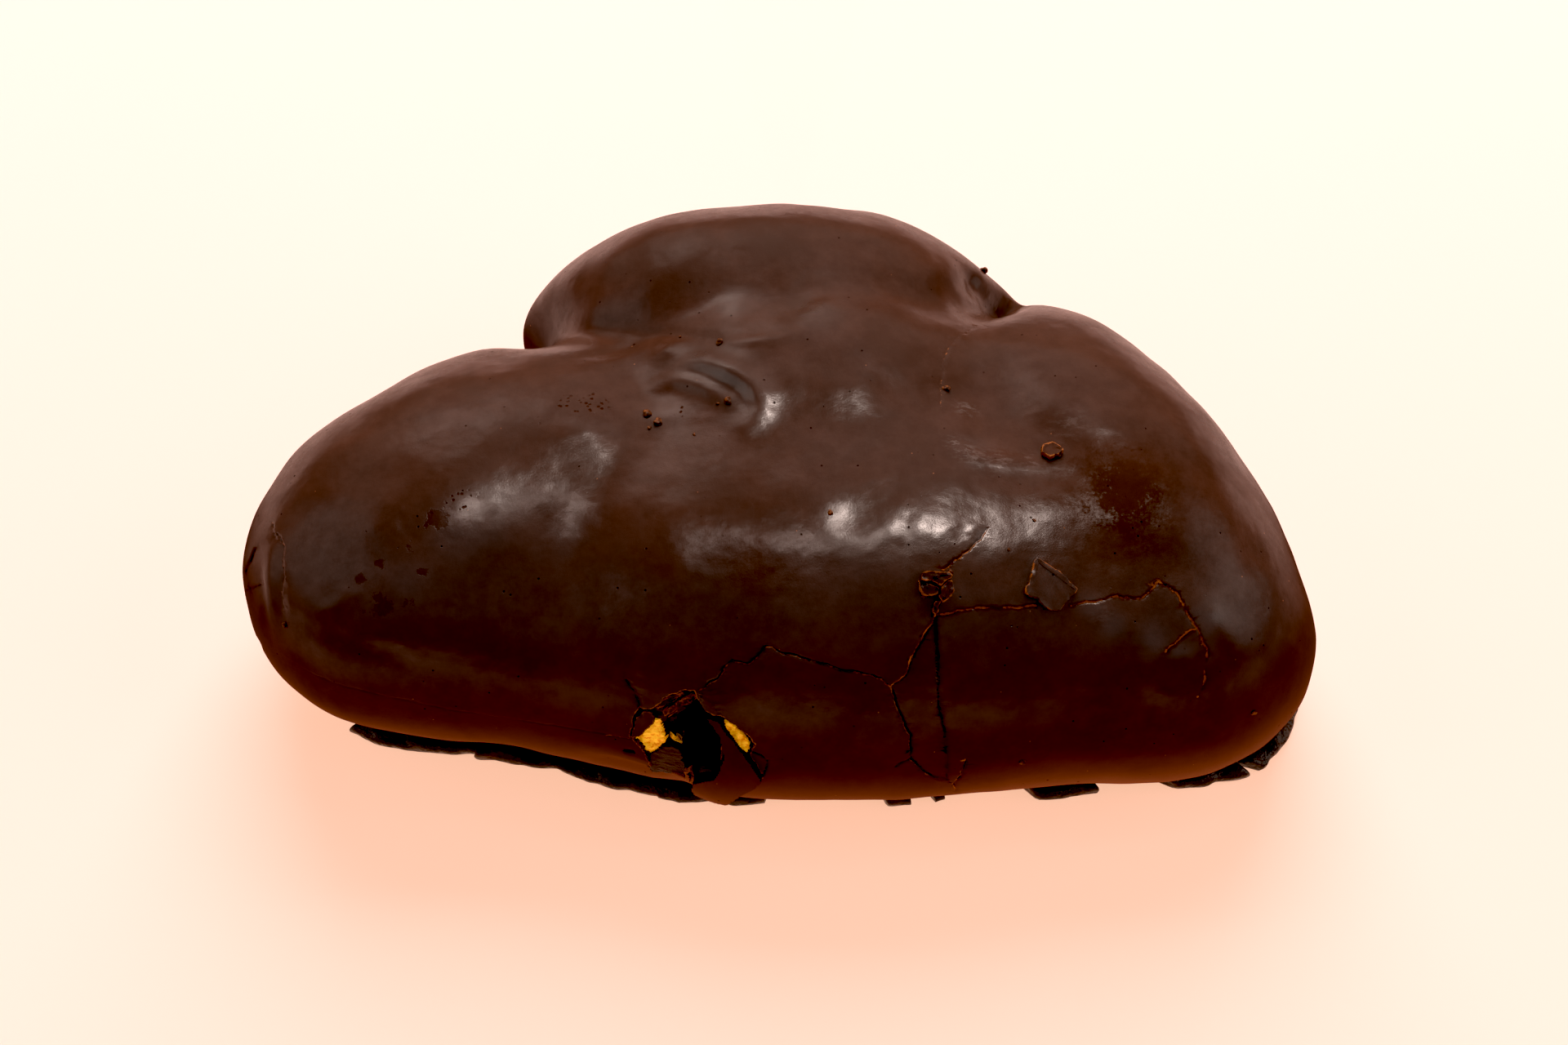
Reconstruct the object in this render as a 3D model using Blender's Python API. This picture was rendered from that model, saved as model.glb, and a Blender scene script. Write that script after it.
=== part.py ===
"""A cream bun in a chocolate coat: puffs that ran together in the oven, filled with cream and dipped.

Run with: blender --background --python part.py
Metres, +Z up. The origin is on the table, under the middle of the bun, and -Y is its long smooth side,
where the coat is broken and shows the pastry and, down a channel, the cream.
Sizes in the tables are in millimetres. Every ray from the bun's heart meets its skin once, so a bearing and
a pitch, seen from there, name one place on the skin.
"""

import math
from dataclasses import dataclass

import bmesh
import bpy
import numpy as np
from mathutils import Matrix, Vector

MM = 0.001

# Driving dimensions
HEART = np.array([2.7, 0.8, 14.0]) * MM  # every ray from here meets the skin once
COAT = 1.4 * MM  # thickness of the chocolate
GAP = 0.3 * MM  # between pieces that touch
FOOT = 1.5 * MM  # thickness of the chocolate that set under the bun
LIP = FOOT + GAP  # height of the coat's lower edge
FOOT_RECESS = 2.0 * MM  # how far the foot ends inside the coat's lower edge, where nothing ran out
WALL = 8.0 * MM  # from the skin to the cream, towards the heart
CREAM_FLOOR = 7.0 * MM  # height of the cream's underside
SIDE = 36.5 * MM  # how far out the long side lies
CHANNEL_END = -23.0 * MM  # how far the channel goes into the cream
RECESS_END = -29.0 * MM  # how far the pastry is crushed behind the pushed-in piece
RECESS_MARGIN = 1.35  # how much wider than that piece the crushed place is
FLATNESS = 0.5  # half height over half depth, which spaces the rings evenly
SIDES = 80  # facets round a body
RINGS = 20  # from its top to its lower edge
INNER_SIDES = 72  # the same, for the surfaces between the coat and the pastry
INNER_RINGS = 15
CORE_SIDES = 36  # the same, for the cream
CORE_RINGS = 10

# How the puffs meet and curve
PROFILE = 2.15  # of a puff seen from the side: 2 is an ellipse, more is boxier
PLAN = 2.1  # the same, seen from above
UNDERCUT = 1.4  # how far below its widest level a puff would close, as a share of that level's height
CREASE = 2.0 * MM  # softness of the creases low down
RIDGE = 0.9 * MM  # and on top
CREASE_TOP = 12 * MM
RIDGE_BOTTOM = 28 * MM


@dataclass(frozen=True)
class Puff:
    """One swelling of the bun, in millimetres and degrees, seen from above."""

    x: float
    y: float
    half_length: float
    half_depth: float
    turn: float
    belly: float  # height of its widest level
    crest: float  # height of its top


@dataclass(frozen=True)
class Fold:
    """A rounded groove pressed into the skin along a line, in millimetres."""

    start: tuple[float, float, float]
    end: tuple[float, float, float]
    radius: float
    depth: float


@dataclass(frozen=True)
class Ledge:
    """A stretch of the foot that ran out past the coat's edge, in degrees and millimetres."""

    start: float
    end: float
    start_reach: float
    end_reach: float


@dataclass(frozen=True)
class Chip:
    """A flake of chocolate stuck on the coat, in millimetres and degrees, seen from above."""

    x: float
    y: float
    length: float
    width: float
    height: float  # that stands out of the coat
    turn: float = 0.0
    sides: int = 5


LEFT_PUFF = Puff(-29.5, -6.4, 31.0, 21.2, 25.3, 14.0, 32.6)
LONG_PUFF = Puff(5.9, -11.3, 48.0, 24.8, 1.2, 10.1, 33.7)
BACK_PUFF = Puff(-1.8, 19.4, 30.0, 16.6, 2.5, 11.5, 33.6)
RIGHT_PUFF = Puff(33.3, -1.4, 28.6, 18.2, -57.5, 11.7, 32.2)
MIDDLE_PUFF = Puff(2.7, 3.9, 30.0, 22.2, 0.0, 10.0, 34.5)
CORNER_PUFF = Puff(36.7, -16.5, 21.5, 14.8, -6.0, 9.5, 28.0)
PUFFS = (LEFT_PUFF, LONG_PUFF, BACK_PUFF, RIGHT_PUFF, MIDDLE_PUFF, CORNER_PUFF)

FOLDS = (
    Fold((-31.0, 18.3, 4.0), (-28.0, 13.3, 31.0), 4.2, 2.6),  # between the left and the back puff
    Fold((27.3, 24.3, 6.0), (21.7, 17.8, 31.0), 4.0, 1.3),  # between the back and the right puff
)

LEDGES = (
    Ledge(-153.5, -143.5, 0.5, 0.4),
    Ledge(-141.8, -96.0, 2.4, 0.6),
    Ledge(-74.5, -69.0, 0.6, 0.8),
    Ledge(-66.0, -63.0, 0.9, 0.8),
    Ledge(-51.2, -42.5, 2.2, 0.9),
    Ledge(-36.5, -29.0, 0.4, 2.4),
    Ledge(-29.0, -14.0, 2.4, 3.8),
    Ledge(18.0, 44.0, 0.8, 1.2),
    Ledge(104.0, 131.0, 1.0, 0.6),
    Ledge(172.0, 188.0, 0.8, 0.5),
)

CHIPS = (
    Chip(28.2, -22.2, 5.6, 4.8, 0.6, 24.0),
    Chip(15.2, -24.2, 1.8, 1.2, 0.6, 10.0, 4),
    Chip(16.7, -23.6, 1.9, 1.1, 0.7, 50.0, 4),
    Chip(16.9, -24.9, 1.5, 1.0, 0.6, -30.0, 4),
    Chip(28.7, -6.8, 2.6, 1.6, 0.9, -15.0, 6),
    Chip(-14.4, -3.0, 1.3, 0.9, 0.6, 20.0, 4),
    Chip(-13.2, -4.0, 1.2, 0.8, 0.5, -40.0, 4),
    Chip(-6.2, -2.2, 1.1, 0.9, 0.6, 30.0, 4),
    Chip(17.6, 1.4, 1.0, 0.8, 0.5, 0.0, 4),
    Chip(21.9, 23.9, 1.1, 0.9, 0.9, 15.0, 4),
)

# Outlines on the long side: x and height, in millimetres, as seen from that side
BREAK = (
    (-15.6, 15.4), (-15.1, 18.6), (-13.8, 19.9), (-11.3, 21.6), (-8.7, 22.4), (-7.6, 20.5), (-5.4, 19.9),
    (-2.9, 17.7), (-1.6, 14.2), (-0.9, 11.3), (-2.2, 9.5), (-3.9, 7.9), (-5.0, 5.6), (-7.6, 5.2), (-9.3, 6.6),
    (-9.7, 9.4), (-13.3, 9.8), (-13.9, 13.4),
)  # fmt: skip
FLAP = (
    (-7.3, 19.4), (-6.2, 19.2), (-4.5, 16.8), (-3.0, 14.4), (-1.5, 11.3), (-2.5, 10.0), (-4.2, 8.3),
    (-5.3, 6.1), (-7.5, 5.7), (-8.9, 7.0), (-9.0, 9.6), (-6.5, 10.4), (-5.8, 12.6), (-5.6, 14.7), (-6.1, 17.4),
)  # fmt: skip
SIDE_PIECE = ((-15.2, 15.7), (-14.7, 18.2), (-13.9, 19.2), (-13.1, 18.5), (-13.4, 17.6), (-14.4, 16.4))
UPPER_PIECE = ((-13.0, 19.5), (-11.3, 20.9), (-8.9, 21.8), (-8.3, 20.8), (-9.9, 19.8), (-11.9, 18.6))
CHANNEL = (
    (-8.1, 21.4), (-7.6, 19.6), (-6.3, 18.2), (-6.0, 16.2), (-5.9, 12.6), (-6.8, 10.6), (-8.9, 9.8),
    (-9.9, 11.2), (-10.2, 15.2), (-11.6, 16.1), (-10.0, 18.6),
)  # fmt: skip

# Colours, roughness and how metallic
CHOCOLATE = ((0.065, 0.026, 0.016, 1.0), 0.36, 0.0)
FOOT_CHOCOLATE = ((0.022, 0.009, 0.006, 1.0), 0.22, 0.0)
CRUMB = ((0.86, 0.50, 0.12, 1.0), 0.80, 0.0)
CREAM = ((0.018, 0.008, 0.005, 1.0), 0.30, 0.0)


def soft_step(value, low, high):
    """0 below low, 1 above high, and smooth in between."""
    t = np.clip((value - low) / (high - low), 0.0, 1.0)
    return t * t * (3.0 - 2.0 * t)


def puff_gap(puff, points):
    """Roughly how far points are outside one puff, negative inside it."""
    turn = math.radians(puff.turn)
    east, north = points[:, 0] - puff.x * MM, points[:, 1] - puff.y * MM
    along = (east * math.cos(turn) + north * math.sin(turn)) / (puff.half_length * MM)
    across = (north * math.cos(turn) - east * math.sin(turn)) / (puff.half_depth * MM)
    plan = (abs(along) ** PLAN + abs(across) ** PLAN) ** (1 / PLAN)
    rise = points[:, 2] - puff.belly * MM
    half_height = (puff.crest - puff.belly) * MM
    level = np.where(rise > 0, rise / half_height, -rise / (UNDERCUT * puff.belly * MM))
    reach = (plan**PROFILE + level**PROFILE) ** (1 / PROFILE)
    return (reach - 1.0) * math.sqrt(puff.half_depth * MM * half_height)


def fold_depth(fold, points):
    """How deep a fold presses the skin in, at points near it."""
    start, end = np.array(fold.start) * MM, np.array(fold.end) * MM
    along = np.clip((points - start) @ (end - start) / ((end - start) @ (end - start)), 0.0, 1.0)
    away = np.linalg.norm(points - start - along[:, None] * (end - start), axis=1)
    return fold.depth * MM * np.exp(-((away / (fold.radius * MM)) ** 2))


def bun_gap(points):
    """Roughly how far points are outside the whole bun, negative inside it."""
    gaps = np.stack([puff_gap(puff, points) for puff in PUFFS])
    nearest = gaps.min(axis=0)
    softness = CREASE + (RIDGE - CREASE) * soft_step(points[:, 2], CREASE_TOP, RIDGE_BOTTOM)
    joined = nearest - softness * np.log(np.exp((nearest - gaps) / softness).sum(axis=0))
    return joined + sum(fold_depth(fold, points) for fold in FOLDS)


def leaving(start, directions, furthest=90 * MM):
    """The distances at which rays leave the bun, by halving the interval that holds each."""
    near, far = np.full(len(directions), 1 * MM), np.full(len(directions), furthest)
    for _ in range(20):
        middle = (near + far) / 2
        within = bun_gap(start + directions * middle[:, None]) < 0
        near, far = np.where(within, middle, near), np.where(within, far, middle)
    return (near + far) / 2


def rays(bearing, pitch):
    """Unit directions for bearings and pitches in radians."""
    level = np.cos(pitch)
    return np.stack([level * np.cos(bearing), level * np.sin(bearing), np.sin(pitch)], axis=-1)


def outward(points, step=0.05 * MM):
    """Outward normals of the skin at points on it, from the slope of bun_gap."""
    slope = [bun_gap(points + step * axis) - bun_gap(points - step * axis) for axis in np.eye(3)]
    normals = np.stack(slope, axis=-1)
    return normals / np.linalg.norm(normals, axis=1, keepdims=True)


def rim_reach(bearing, height):
    """How far the skin is from the heart's upright axis, at a height, for each bearing."""
    return leaving(np.array([HEART[0], HEART[1], height]), rays(bearing, np.zeros_like(bearing)))


def skin_above(x, y):
    """The point of the skin above or below a place seen from above, and the normal there."""
    start = np.array([x * MM, y * MM, HEART[2] + 4 * MM])
    up = np.array([[0.0, 0.0, 1.0]])
    point = start + up * leaving(start, up)[:, None]
    return point[0], outward(point)[0]


def link(obj, collection, material=None):
    """Puts an object in a collection, with a material of its own."""
    collection.objects.link(obj)
    if material:
        obj.data.materials.clear()
        obj.data.materials.append(material)
    return obj


def hide(cutter):
    """Shows a cutter as wires only, and leaves it out of a render."""
    cutter.hide_render = True
    cutter.display_type = "WIRE"
    return cutter


def finish(name, colour, roughness, metallic):
    """A plain material."""
    material = bpy.data.materials.new(name)
    material.use_nodes = True
    shader = material.node_tree.nodes["Principled BSDF"]
    shader.inputs["Base Color"].default_value = colour
    shader.inputs["Roughness"].default_value = roughness
    shader.inputs["Metallic"].default_value = metallic
    return material


def pressed_body(name, sides, rings, floor, inset=0.0, towards_heart=0.0, drop=0.0):
    """A closed body with the bun's skin, pressed flat on a floor.

    It starts as a sphere of as many segments and rings, whose lowest ring becomes the rim on the floor.
    The skin moves in by inset along its normals, and by towards_heart along the rays. drop lowers the rim
    and the flat bottom, for a cutter that has to reach past the floor.
    """
    mesh = bpy.data.meshes.new(name)
    bm = bmesh.new()
    bmesh.ops.create_uvsphere(bm, u_segments=sides, v_segments=rings + 1, radius=1.0)
    start = np.array([vertex.co[:] for vertex in bm.verts])
    bearing = np.arctan2(start[:, 1], start[:, 0])
    fall = np.arccos(np.clip(start[:, 2], -1, 1)) / math.pi * (rings + 1) / rings  # 0 on top, 1 at the rim
    lowest = np.arctan2(floor - HEART[2], rim_reach(bearing, floor))
    lowest_evenly = np.arctan2(np.sin(lowest), np.cos(lowest) * FLATNESS)
    evenly = math.pi / 2 + (lowest_evenly - math.pi / 2) * np.clip(fall, 0, 1)
    directions = rays(bearing, np.arctan2(FLATNESS * np.sin(evenly), np.cos(evenly)))
    points = HEART + directions * leaving(HEART, directions)[:, None]
    points -= outward(points) * inset + directions * towards_heart
    points[fall > 0.999, 2] = floor - drop
    points[fall > 1.001] = (HEART[0], HEART[1], floor - drop)
    points[:, 2] = np.maximum(points[:, 2], floor - drop)
    for vertex, point in zip(bm.verts, points):
        vertex.co = point
    bmesh.ops.triangulate(bm, faces=bm.faces, quad_method="FIXED")
    bmesh.ops.recalc_face_normals(bm, faces=bm.faces)
    bm.to_mesh(mesh)
    bm.free()
    mesh.shade_smooth()
    return bpy.data.objects.new(name, mesh)


def flat_outline(name, points, thickness):
    """A filled 2D curve through points in metres, as thick as asked, on both sides of its plane."""
    curve = bpy.data.curves.new(name, "CURVE")
    curve.dimensions = "2D"
    curve.fill_mode = "BOTH"
    curve.extrude = thickness / 2
    spline = curve.splines.new("POLY")
    spline.points.add(len(points) - 1)
    for spline_point, (x, y) in zip(spline.points, points):
        spline_point.co = (x, y, 0.0, 1.0)
    spline.use_cyclic_u = True
    return bpy.data.objects.new(name, curve)


def evaluated_mesh(obj):
    """A new mesh of the object as its modifiers leave it, with loose caps welded."""
    bpy.context.view_layer.update()
    graph = bpy.context.evaluated_depsgraph_get()
    mesh = bpy.data.meshes.new_from_object(obj.evaluated_get(graph))
    bm = bmesh.new()
    bm.from_mesh(mesh)
    bmesh.ops.remove_doubles(bm, verts=bm.verts, dist=1e-6)
    bmesh.ops.recalc_face_normals(bm, faces=bm.faces)
    bm.to_mesh(mesh)
    bm.free()
    return mesh


def as_mesh(obj, collection):
    """The same object as a mesh, in place of the object."""
    solid = bpy.data.objects.new(obj.name, evaluated_mesh(obj))
    solid.matrix_world = obj.matrix_world
    name = obj.name
    bpy.data.objects.remove(obj)
    solid.name = name
    collection.objects.link(solid)
    return solid


def widened(outline, share):
    """An outline grown about its middle."""
    middle = np.mean(outline, axis=0)
    return [tuple(middle + share * (np.array(corner) - middle)) for corner in outline]


def side_cutter(name, outline, near, far, collection):
    """A prism with an outline of the long side, from near to far along Y."""
    points = [(x * MM, height * MM) for x, height in outline]
    prism = flat_outline(name, points, far - near)
    prism.rotation_euler = (math.pi / 2, 0, 0)
    prism.location = (0, (near + far) / 2, 0)
    collection.objects.link(prism)
    bpy.context.view_layer.update()
    return hide(as_mesh(prism, collection))


def boolean(obj, operation, other):
    """Adds a Boolean modifier with an object, or with a whole collection."""
    modifier = obj.modifiers.new(f"{operation.lower()} {other.name}", "BOOLEAN")
    modifier.operation = operation
    modifier.solver = "EXACT"
    if isinstance(other, bpy.types.Collection):
        modifier.operand_type = "COLLECTION"
        modifier.collection = other
    else:
        modifier.object = other


def fuse_chips(coat):
    """Joins the flakes to the coat's skin."""
    flakes = bpy.data.collections.new("flakes")
    bpy.context.scene.collection.children.link(flakes)
    for chip in CHIPS:
        point, normal = skin_above(chip.x, chip.y)
        mesh = bpy.data.meshes.new("flake")
        bm = bmesh.new()
        depth = chip.height * MM + COAT / 2
        bmesh.ops.create_cone(
            bm, cap_ends=True, segments=chip.sides, radius1=0.5, radius2=0.44, depth=1.0
        )
        bm.to_mesh(mesh)
        bm.free()
        flake = bpy.data.objects.new("flake", mesh)
        middle = Vector(point) + Vector(normal) * (chip.height * MM - depth / 2)
        lie = Vector(normal).to_track_quat("Z", "Y").to_matrix().to_4x4()
        turn = Matrix.Rotation(math.radians(chip.turn), 4, "Z")
        size = Matrix.Diagonal((chip.length * MM, chip.width * MM, depth, 1.0))
        flake.matrix_world = Matrix.Translation(middle) @ lie @ turn @ size
        flakes.objects.link(flake)
    boolean(coat, "UNION", flakes)
    fused = evaluated_mesh(coat)
    coat.modifiers.clear()
    coat.data = fused
    fused.shade_smooth()
    for flake in list(flakes.objects):
        bpy.data.objects.remove(flake)
    bpy.data.collections.remove(flakes)


def make_coat(parts, cutters):
    """The chocolate coat: a shell that is open below and broken at the long side."""
    skin = link(pressed_body("chocolate_coat", SIDES, RINGS, LIP), parts)
    fuse_chips(skin)
    skin.data.materials.append(finish("chocolate", *CHOCOLATE))
    hollow = pressed_body("coat_hollow", INNER_SIDES, INNER_RINGS, LIP, inset=COAT, drop=GAP)
    hide(link(hollow, cutters))
    boolean(skin, "DIFFERENCE", hollow)
    boolean(skin, "DIFFERENCE", side_cutter("break", BREAK, -SIDE - 3 * MM, -25 * MM, cutters))
    return hollow


def make_pastry(parts, cutters):
    """The pastry under the coat, hollow for the cream, with the channel broken through it."""
    pastry = pressed_body("pastry", INNER_SIDES, INNER_RINGS, LIP, inset=COAT + GAP)
    link(pastry, parts, finish("crumb", *CRUMB))
    room = pressed_body("cream_room", CORE_SIDES, CORE_RINGS, CREAM_FLOOR, towards_heart=WALL)
    hide(link(room, cutters))
    boolean(pastry, "DIFFERENCE", room)
    channel = side_cutter("channel", CHANNEL, -SIDE - 3 * MM, CHANNEL_END, cutters)
    boolean(pastry, "DIFFERENCE", channel)
    crushed = side_cutter("crushed", widened(UPPER_PIECE, RECESS_MARGIN), -SIDE, RECESS_END, cutters)
    boolean(pastry, "DIFFERENCE", crushed)
    return channel


def make_cream(parts, channel):
    """The cream, which fills the pastry and is scooped out at the channel's end."""
    cream = pressed_body("cream_filling", CORE_SIDES, CORE_RINGS, CREAM_FLOOR + GAP, towards_heart=WALL + GAP)
    link(cream, parts, finish("cream", *CREAM))
    boolean(cream, "DIFFERENCE", channel)


def make_foot(parts):
    """The chocolate that set flat under the bun and ran out past the coat here and there."""
    step = 4.0
    corners = [(bearing, -FOOT_RECESS) for bearing in np.arange(-180.0, 180.0, step)]
    for ledge in LEDGES:
        inside = [c for c in corners if ledge.start <= c[0] <= ledge.end]
        corners = [c for c in corners if c not in inside]
        stretch = np.linspace(ledge.start, ledge.end, max(2, round((ledge.end - ledge.start) / step) + 1))
        reach = np.linspace(ledge.start_reach, ledge.end_reach, len(stretch)) * MM
        corners += list(zip(stretch, reach))
    corners.sort(key=lambda corner: corner[0])
    bearing = np.radians([corner[0] for corner in corners])
    reach = rim_reach(bearing, LIP) + np.array([corner[1] for corner in corners])
    outline = list(zip(HEART[0] + reach * np.cos(bearing), HEART[1] + reach * np.sin(bearing)))
    foot = link(flat_outline("chocolate_base", outline, FOOT), parts, finish("foot", *FOOT_CHOCOLATE))
    foot.location.z = FOOT / 2


def make_broken_piece(name, outline, push, lean, parts, cutters, hollow):
    """A piece broken out of the coat, pushed along Y and leaning out about its upper edge."""
    piece = link(pressed_body(name, SIDES, RINGS, LIP), parts)
    boolean(piece, "DIFFERENCE", hollow)
    boolean(piece, "INTERSECT", side_cutter(f"{name}_outline", outline, -SIDE - 3 * MM, -25 * MM, cutters))
    mesh = evaluated_mesh(piece)
    piece.modifiers.clear()
    piece.data = mesh
    mesh.materials.append(finish(name, *CHOCOLATE))
    top = max(mesh.vertices, key=lambda vertex: vertex.co.z).co.copy()
    turn = Matrix.Rotation(math.radians(lean), 4, "X")
    placed = Matrix.Translation(top + Vector((0, push, 0))) @ turn @ Matrix.Translation(-top)
    mesh.transform(placed)


def main():
    for thing in list(bpy.data.objects):
        bpy.data.objects.remove(thing)
    parts = bpy.data.collections.new("cream_bun")
    cutters = bpy.data.collections.new("cutters")
    for collection in (parts, cutters):
        bpy.context.scene.collection.children.link(collection)
    hollow = make_coat(parts, cutters)
    channel = make_pastry(parts, cutters)
    make_cream(parts, channel)
    make_foot(parts)
    make_broken_piece("broken_flap", FLAP, 0.0, -7.0, parts, cutters, hollow)
    make_broken_piece("broken_side_piece", SIDE_PIECE, 0.0, -4.0, parts, cutters, hollow)
    make_broken_piece("broken_upper_piece", UPPER_PIECE, 1.0 * MM, 6.0, parts, cutters, hollow)


if __name__ == "__main__":
    main()
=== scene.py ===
"""Looks of a cream bun: its chocolate coat with cracks and a break, the pastry and the dark cream that show
through the break, the flakes that lie on the coat, and the glossy chocolate foot that set under the bun.

Lengths in the tables are in millimetres and angles in degrees, unless a name says pixels. Pixels belong to
the picture of 1920 x 1280 that the camera takes; a place given by a pixel is carried down the line of sight
onto the bun's own skin, and everything there is built on that skin.
"""

import logging
import math
from collections.abc import Callable, Iterator, Sequence
from contextlib import contextmanager
from dataclasses import dataclass, field
from typing import Any

import bmesh
import bpy
import numpy as np
from mathutils import Matrix, Vector


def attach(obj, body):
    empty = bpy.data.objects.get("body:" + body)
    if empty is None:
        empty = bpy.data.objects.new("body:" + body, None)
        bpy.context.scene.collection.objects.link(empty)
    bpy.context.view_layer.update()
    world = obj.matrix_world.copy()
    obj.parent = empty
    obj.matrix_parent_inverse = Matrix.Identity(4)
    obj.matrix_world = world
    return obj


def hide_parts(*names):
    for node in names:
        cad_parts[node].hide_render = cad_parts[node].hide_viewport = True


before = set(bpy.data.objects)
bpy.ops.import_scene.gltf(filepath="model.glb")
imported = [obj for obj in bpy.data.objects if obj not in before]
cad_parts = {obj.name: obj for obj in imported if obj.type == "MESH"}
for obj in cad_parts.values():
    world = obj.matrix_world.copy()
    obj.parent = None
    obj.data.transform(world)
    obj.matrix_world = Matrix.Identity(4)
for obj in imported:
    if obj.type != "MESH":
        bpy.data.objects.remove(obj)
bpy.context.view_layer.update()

LOG = logging.getLogger("cream_bun")
MM = 0.001
TINY = 1e-12  # keeps a division off zero
Array = np.ndarray
Pixels = tuple[tuple[float, float], ...]
Colour = tuple[float, float, float]
EVEN: Colour = (1.0, 1.0, 1.0)  # a stretch that leaves a pattern as it is


# ---- The bun's skin ----


def soft_step(value: Array, low: float, high: float) -> Array:
    """0 below low, 1 above high, and smooth in between."""
    share = np.clip((value - low) / (high - low), 0.0, 1.0)
    return share * share * (3.0 - 2.0 * share)


def unit(vectors: Array) -> Array:
    """The same directions, each of length 1."""
    return vectors / np.maximum(np.linalg.norm(vectors, axis=-1, keepdims=True), TINY)


def pairs(text: str) -> Pixels:
    """Pairs of numbers from text such as "856,845 876,833"."""
    return tuple((float(x), float(y)) for x, y in (pair.split(",") for pair in text.split()))


def inside(outline: Array, places: Array) -> Array:
    """Which 2D places lie inside a closed outline.

    Args:
        outline: Corners, one a row.
        places: Places, one a row.

    Returns:
        One truth value a place.
    """
    x, y = places[:, 0], places[:, 1]
    odd = np.zeros(len(places), bool)
    for (x0, y0), (x1, y1) in zip(outline, np.roll(outline, -1, axis=0)):
        spans = (y0 > y) != (y1 > y)
        slope = (x1 - x0) / (y1 - y0 if y1 != y0 else TINY)
        odd ^= spans & (x < x0 + (y - y0) * slope)
    return odd


def bell(away: Array, width: float | Array) -> Array:
    """1 at no distance, and falling off smoothly over a width."""
    return np.exp(-((away / width) ** 2))


def crossing(low: Array, high: Array) -> Array:
    """Where a straight line from low to high passes 0, as a share of the way."""
    return -low / np.maximum(high - low, TINY)


def in_front(places: Array, limit: float = -25.0) -> Array:
    """Which places lie before a limit along Y in millimetres, as those of the long side do."""
    return places[:, 1] < limit * MM


@dataclass(frozen=True)
class Puff:
    """One swelling of the bun, seen from above."""

    x: float
    y: float
    half_length: float
    half_depth: float
    turn: float
    belly: float
    crest: float

    def gap(self, points: Array, profile: float, plan: float, undercut: float) -> Array:
        """Roughly how far points are outside this puff, negative inside it."""
        turn = math.radians(self.turn)
        east, north = points[:, 0] - self.x * MM, points[:, 1] - self.y * MM
        along = (east * math.cos(turn) + north * math.sin(turn)) / (self.half_length * MM)
        across = (north * math.cos(turn) - east * math.sin(turn)) / (self.half_depth * MM)
        level_plan = (np.abs(along) ** plan + np.abs(across) ** plan) ** (profile / plan)
        rise = points[:, 2] - self.belly * MM
        half_height = (self.crest - self.belly) * MM
        level = np.where(rise > 0, rise / half_height, -rise / (undercut * self.belly * MM))
        reach = (level_plan + level**profile) ** (1 / profile)
        return (reach - 1.0) * math.sqrt(self.half_depth * MM * half_height)


@dataclass(frozen=True)
class Fold:
    """A rounded groove pressed into the skin along a line."""

    start: tuple[float, float, float]
    end: tuple[float, float, float]
    radius: float
    depth: float

    def press(self, points: Array) -> Array:
        """How deep the fold presses the skin in, at points near it."""
        start, end = np.array(self.start) * MM, np.array(self.end) * MM
        along = np.clip((points - start) @ (end - start) / ((end - start) @ (end - start)), 0.0, 1.0)
        away = np.linalg.norm(points - start - along[:, None] * (end - start), axis=1)
        return self.depth * MM * bell(away, self.radius * MM)


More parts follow.
